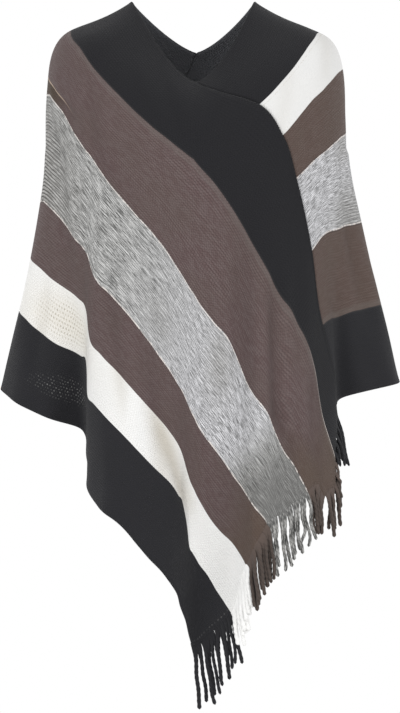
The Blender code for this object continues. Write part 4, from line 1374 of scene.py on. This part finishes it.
# The masks of one panel's knit by name: the numbers given to its vertices, the stitches' dips, the
# fibres, the uneven dye, the marl's streaks and grooves, and the stretches beside the fringe.
def knitMasks(tree, uv, u, stitch, fuzz, panel):
    masks = {name: vertexNumber(tree, name) for name in ("seam", "open", "rib", "fold", "inner")}
    marl = place(tree, "marl", {"Place": uv})
    wider = place(tree, "marl", {"Place": uv, "Across": knit["brownAcross"], "Course": knit["brownCourse"]})
    ribbed = place(tree, "marl", {"Place": uv, "Course": knit["ribCourse"]})
    masks["streak"], masks["groove"] = marl.outputs["Streak"], marl.outputs["Groove"]
    masks["brownStreak"], masks["brownGroove"] = wider.outputs["Streak"], wider.outputs["Groove"]
    masks["fibres"], masks["clouds"] = fuzz.outputs["Fibres"], fuzz.outputs["Clouds"]
    masks["dip"] = stitch.outputs["Dip"]
    masks["whiteDip"] = product(tree, masks["dip"], panel["stitched"])
    masks["notRib"] = calc(tree, "SUBTRACT", 1.0, masks["rib"])
    masks["ridge"] = calc(tree, "MULTIPLY_ADD", masks["rib"], *knit["ridge"])
    masks["ribGroove"] = product(tree, ribbed.outputs["Groove"], masks["rib"])
    # the white's painted crease shade, left out where the knit is pulled open
    masks["closedTroughShade"] = product(tree, masks["fold"], calc(tree, "SUBTRACT", 1.0, masks["open"]))
    for name in ("lastGrey", "lastBrown", "lastRow"):
        masks[name] = rampNumber(tree, u, *knit[name])
    masks["panelShade"] = panel["panelShade"]
    masks["uneven"] = rampNumber(tree, noise(tree, uv, knit["rowNoise"]), *knit["rowFrom"])
    return masks


# The grey's marl: its dark and light yarn mixed by the streaks. Both are paler and the streaks are
# shorter along the part that the panel gives, but not on the ribs; on the right panel the grey is pale
# even on the arm, which is painted light. In patches near the fringe less of the light yarn shows.
def greyMarl(tree, uv, u, masks, panel):
    c = yarnColours
    palerAndPaintedLight = product(tree, rampNumber(tree, u, *knit["greyPaler"], panel["palerAndPaintedLight"]), masks["notRib"])
    palerAndPaintedLight = product(tree, palerAndPaintedLight, rampNumber(tree, u, *knit["greyPalerEnd"], (1.0, 0.0)))
    longer = place(tree, "marl", {"Place": uv, "Along": knit["greyAlong"]})
    streak = mixNumber(tree, palerAndPaintedLight, longer.outputs["Streak"], masks["streak"])
    patchy = noise(tree, stretched(tree, uv, *knit["patches"]), 1.0)
    patchy = rampNumber(tree, patchy, *knit["patchFrom"], knit["patchTo"])
    less = calc(tree, "SUBTRACT", 1.0, product(tree, masks["lastGrey"], patchy, knit["greyLess"]))
    dark = mixColour(tree, palerAndPaintedLight, c["greyDark"], c["greyPaleDark"])
    light = mixColour(tree, palerAndPaintedLight, c["greyLight"], c["greyPale"])
    return mixColour(tree, product(tree, streak, less), dark, light)


# Colours of the yarns as knitted on one panel, with their layers mixed over them in turn.
def knitColours(tree, uv, u, masks, panel):
    colours = {}
    for yarn, layers in knitLayers.items():
        colour = greyMarl(tree, uv, u, masks, panel) if yarn == "grey" else yarnColours[yarn]
        for mask, share, over in layers:
            colour = mixColour(tree, product(tree, masks[mask], share), colour, yarnColours[over])
        colours[yarn] = colour
    colours["blackHem"] = mixColour(tree, knit["hemLight"], colours["black"], yarnColours["blackLight"])
    return colours


# The rows beside the borders laid over the stripes.
def layBorderRows(tree, v, colour, names, edges, masks):
    for stripe, neighbour, start, end, soft, by, share, over in borderRows:
        k = names.index(stripe)
        border, way = (edges[k + 1], -1) if names.index(neighbour) > k else (edges[k], 1)
        row = band(tree, v, *sorted((border + way * start, border + way * end)), soft)
        row = product(tree, row, *[masks[name] for name in by], share)
        colour = mixColour(tree, row, colour, yarnColours[over])
    return colour


# The tuck: the distance in v from its parabola gives the painted highlight on its crest and, as far
# as the grey, the painted shade under it.
def layTuck(tree, u, v, colour, greyStart):
    fromMiddle = calc(tree, "SUBTRACT", u, tuck["middle"])
    past = calc(tree, "MULTIPLY_ADD", calc(tree, "MULTIPLY", fromMiddle, fromMiddle), tuck["bow"], v)
    past = calc(tree, "SUBTRACT", past, tuck["top"])
    come, full, fading, gone = tuck["ends"]
    here = product(tree, rampNumber(tree, u, come, full), rampNumber(tree, u, fading, gone, (1.0, 0.0)))
    under = rampNumber(tree, past, 0.0, tuck["shadeSoft"])
    under = product(tree, under, rampNumber(tree, u, *tuck["shadeEnd"], (1.0, 0.0)))
    aboveGrey = rampNumber(tree, v, greyStart - tuck["shadeStop"], greyStart, (1.0, 0.0))
    under = product(tree, under, aboveGrey, here, tuck["shadeShare"])
    colour = mixColour(tree, under, colour, yarnColours["tuckShade"])
    line = band(tree, past, *tuck["line"], tuck["lineSoft"])
    return mixColour(tree, product(tree, line, here, tuck["lineShare"]), colour, yarnColours["tuckHighlight"])


# Mask of the eyelets: they show on the white and the outer black where the knit is pulled open,
# and some of the black's are left out.
def eyeletMask(tree, uv, masks, isWhite, isBlack):
    dots = place(tree, "eyelet", {"Place": uv}).outputs["Dots"]
    opened = rampNumber(tree, masks["open"], *knit["eyeletsOpen"])
    here = calc(tree, "ADD", isWhite, isBlack)
    dropped = rampNumber(tree, noise(tree, uv, knit["dropNoise"]), *knit["dropFrom"])
    black = product(tree, masks["uneven"], dropped)
    white = calc(tree, "MULTIPLY_ADD", masks["uneven"], *knit["whiteDots"])
    return product(tree, dots, opened, here, mixNumber(tree, isWhite, black, white))


# Mask of the knots beside the outer black's fringe: the absolute sine of v over the strands' pitch,
# steepened, in a short band of u.
def knotMask(tree, u, v, masks, isBlack):
    knots = calc(tree, "ABSOLUTE", calc(tree, "SINE", product(tree, v, math.pi / fringe["pitch"])))
    knots = rampNumber(tree, knots, *knit["knotFrom"])
    start = cloth["length"] - knit["knotsFromEnd"]
    row = band(tree, u, start, start + knit["knotLength"])
    return product(tree, knots, row, isBlack, masks["uneven"], masks["uneven"])


# Striped knit of one panel: bands of v choose the yarns' colours, rows, tuck, eyelets and knots are
# laid over them, and stitches, fibres and the seam make the bump.
def panelMaterial(name, panel):
    material, tree, shader = startMaterial(name, finish["knitRoughness"], finish["knitSheen"])
    edges = (borders(panel) * cloth["width"]).tolist()
    names = [stripe for stripe, _ in panel["stripes"]]
    uv = addNode(tree, "ShaderNodeUVMap", uv_map="clothPlace").outputs[0]
    stitch = place(tree, "stitch", {"Place": uv, "Wale": knit["wale"], "Course": knit["course"]})
    fuzz = place(tree, "fuzz", {"Place": uv})
    u, straight = apart(tree, uv)
    v = calc(tree, "MULTIPLY_ADD", stitch.outputs["Height"], knit["borderWave"], straight)
    v = calc(tree, "MULTIPLY_ADD", noise(tree, uv, knit["borderNoise"]), knit["borderDrift"], v)
    v = calc(tree, "SUBTRACT", v, (knit["borderWave"] + knit["borderDrift"]) / 2)
    masks = knitMasks(tree, uv, u, stitch, fuzz, panel)
    colours = knitColours(tree, uv, u, masks, panel)
    yarnOf = {"brownWide": "brown", "brownNarrow": "brown", names[0]: "black", names[-1]: "blackHem"}
    colour = colours["black"]
    for stripe, edge in zip(names[1:], edges[1:]):
        past = rampNumber(tree, v, edge - knit["borderSoft"], edge + knit["borderSoft"])
        colour = mixColour(tree, past, colour, colours[yarnOf.get(stripe, stripe)])
    colour = layBorderRows(tree, v, colour, names, edges, masks)
    if names[0] == "blackInner":
        colour = layTuck(tree, u, v, colour, edges[names.index("grey")])
    isWhite, isBlack = [
        band(tree, v, edges[names.index(stripe)], edges[names.index(stripe) + 1])
        for stripe in ("white", "blackOuter")
    ]
    opened = eyeletMask(tree, uv, masks, isWhite, isBlack)
    dotColour = mixColour(tree, isWhite, yarnColours["blackDots"], yarnColours["whiteDots"])
    colour = mixColour(tree, product(tree, opened, knit["dotShare"]), colour, dotColour)
    knots = knotMask(tree, u, v, masks, isBlack)
    colour = mixColour(tree, product(tree, knots, knit["knotShare"]), colour, yarnColours["blackDots"])
    tree.links.new(colour, shader.inputs["Base Color"])

    whip = product(tree, calc(tree, "ADD", u, straight), math.pi / knit["whipStep"])
    whip = calc(tree, "ABSOLUTE", calc(tree, "SINE", whip))
    height = calc(tree, "MULTIPLY_ADD", fuzz.outputs["Fibres"], knit["fibreRise"], stitch.outputs["Height"])
    height = product(tree, height, calc(tree, "MULTIPLY_ADD", isWhite, panel["stitched"] - 1.0, 1.0))
    height = calc(tree, "SUBTRACT", height, product(tree, opened, knit["eyeletDepth"]))
    height = calc(tree, "ADD", height, product(tree, masks["seam"], whip, knit["whipRise"]))
    addBump(tree, shader, height, knit)
    return material


strand = {
    "aroundScale": 0.014,      # metres that the way round a strand stands for
    "fibre": 1100.0,
    "cloud": 60.0,
    "fibreShare": 0.45,        # of the lighter colour
    "rootShare": 0.6,          # less of it at the root
    # painted shade between the plies: this share of the yarn's own colour, and how far it reaches
    "grooveDark": 0.45,        # the colour between the plies, of the yarn's own
    "grooveBelow": 0.45,
    "fibreRise": 0.4,
    "bump": 0.0007,
    "bumpStrength": 0.6,
}
# loose yarn: its colour, its lighter one, its colour at the root, how dark the painted shade between
# the plies is, and how marled
looseYarns = {
    "black": ("black", "blackLight", "black", 0.5, 0.0),
    "brown": ("brownYarn", "brownYarnLight", "brownRoot", 0.5, 0.0),
    "grey": ("greyYarn", "greyYarnLight", "greyRoot", 0.6, 0.9),
    "white": ("whiteYarn", "whiteYarnLight", "whiteYarn", 0.05, 0.0),
}


# Loose yarn of one colour: painted shade between the plies, with fibres, and marled if its row says so.
def yarnMaterial(name, own, lighter, root, groove, marled):
    material, tree, shader = startMaterial(name, finish["yarnRoughness"], finish["yarnSheen"])
    colour, light, rootColour = [yarnColours[which] for which in (own, lighter, root)]
    uv = addNode(tree, "ShaderNodeUVMap", uv_map="clothPlace").outputs[0]
    ply = place(tree, "ply", {"Place": uv, "Pitch": fringe["plyPitch"]})
    flat = stretched(tree, uv, 1.0, strand["aroundScale"])
    fuzz = place(tree, "fuzz", {"Place": flat, "Fibre": strand["fibre"], "Cloud": strand["cloud"]})
    shade = product(tree, fuzz.outputs["Fibres"], strand["fibreShare"])
    if marled:
        shade = product(tree, place(tree, "marl", {"Place": flat}).outputs["Streak"], marled)
    away = rampNumber(tree, apart(tree, uv)[0], fringe["rootInside"], fringe["rootReach"])
    base = mixColour(tree, product(tree, shade, strand["rootShare"]), rootColour, light)
    base = mixColour(tree, away, base, mixColour(tree, shade, colour, light))
    # painted shade between the plies, none at the root
    between = rampNumber(tree, ply.outputs["Height"], 0.0, strand["grooveBelow"], (groove, 0.0))
    dark = tuple(strand["grooveDark"] * part for part in colour)
    base = mixColour(tree, product(tree, between, away), base, dark)
    tree.links.new(base, shader.inputs["Base Color"])
    height = product(tree, ply.outputs["Height"], away)
    height = calc(tree, "MULTIPLY_ADD", fuzz.outputs["Fibres"], strand["fibreRise"], height)
    addBump(tree, shader, height, strand)
    return material


yarnMaterials = {yarn: yarnMaterial(f"{yarn}Yarn", *values) for yarn, values in looseYarns.items()}
for side, piece in clothPieces.items():
    piece.data.materials.append(panelMaterial(f"{side}PanelKnit", panels[side]))
print("materials made")


# A stripe's name as the frame writes it: blackInner is black_inner.
def frameName(stripe):
    return "".join(f"_{letter.lower()}" if letter.isupper() else letter for letter in stripe)


for (where, stripe), piece in yarnPieces.items():
    yarn = frameName(stripe).split("_")[0]
    piece.data.materials.append(yarnMaterials[yarn])
    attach(piece, "root")
    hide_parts(f"fringe_{where.lower()}_{frameName(stripe)}")
for side, where in (("left", "Front"), ("right", "Back")):
    piece = clothPieces[side]
    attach(piece, "root")
    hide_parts(f"panel_{side}")
print("pieces tied to the frame")

stage = {
    "floorLevel": -1.42,
    "floorRadius": 3.1,
    "floorRings": (0.25, 0.6, 1.0),
    "floorSides": 128,
    "floorColour": (0.86, 0.86, 0.855, 1),
    "floorRoughness": 0.7,
    "worldLight": 0.74,
    "backdrop": 1.0,
    "lampsAim": (0, 0, -0.48),       # the garment's middle
    # name: place, size, power in watts
    "lamps": {
        "keyLight": ((-1.7, -3.0, 1.1), 2.0, 44),
        "fillLight": ((2.3, -2.6, 0.1), 2.2, 30),
        "backLeftLight": ((-2.2, 2.6, 0.8), 2.2, 26),
        "backRightLight": ((2.2, 2.6, 0.6), 2.2, 26),
    },
}


# Floor: a level round disc of rings, whose middle is one face.
def makeFloor():
    theta = np.linspace(0, 2 * np.pi, stage["floorSides"] + 1)[:-1]
    radii = np.array(stage["floorRings"]) * stage["floorRadius"]
    level = 0 * theta + stage["floorLevel"]
    rings = np.stack([np.stack([r * np.cos(theta), r * np.sin(theta), level], 1) for r in radii])
    index = np.arange(rings.shape[0] * rings.shape[1]).reshape(rings.shape[:2])
    after = np.roll(index, -1, axis=1)
    faces = np.stack([index[:-1], index[1:], after[1:], after[:-1]], -1).reshape(-1, 4)
    vertices = rings.reshape(-1, 3)
    return makeMesh("floor", vertices, faces, vertices[:, :2], (index[:1],))


floor = makeFloor()
floorMaterial, _, floorShader = startMaterial("paleFloor", stage["floorRoughness"], 0.0)
floorShader.inputs["Base Color"].default_value = stage["floorColour"]
floor.data.materials.append(floorMaterial)

world = bpy.data.worlds.new("studio")
bpy.context.scene.world = world
world.use_nodes = True
tree = world.node_tree
background = tree.nodes["Background"]
background.inputs["Color"].default_value = (1, 1, 1, 1)
seen = addNode(tree, "ShaderNodeLightPath").outputs["Is Camera Ray"]
strength = calc(tree, "MULTIPLY_ADD", seen, stage["backdrop"] - stage["worldLight"], stage["worldLight"])
tree.links.new(strength, background.inputs["Strength"])

for name, (spot, size, power) in stage["lamps"].items():
    lamp = bpy.data.lights.new(name, "AREA")
    lamp.size = size
    lamp.energy = power
    lampObject = bpy.data.objects.new(name, lamp)
    lampObject.location = spot
    away = np.array(spot) - stage["lampsAim"]
    pitch = math.acos(away[2] / np.linalg.norm(away))
    lampObject.rotation_euler = (pitch, 0, math.atan2(away[1], away[0]) + math.pi / 2)
    bpy.context.scene.collection.objects.link(lampObject)
bpy.context.scene.view_settings.view_transform = "Standard"
print("stage and lights set")

bpy.context.view_layer.update()
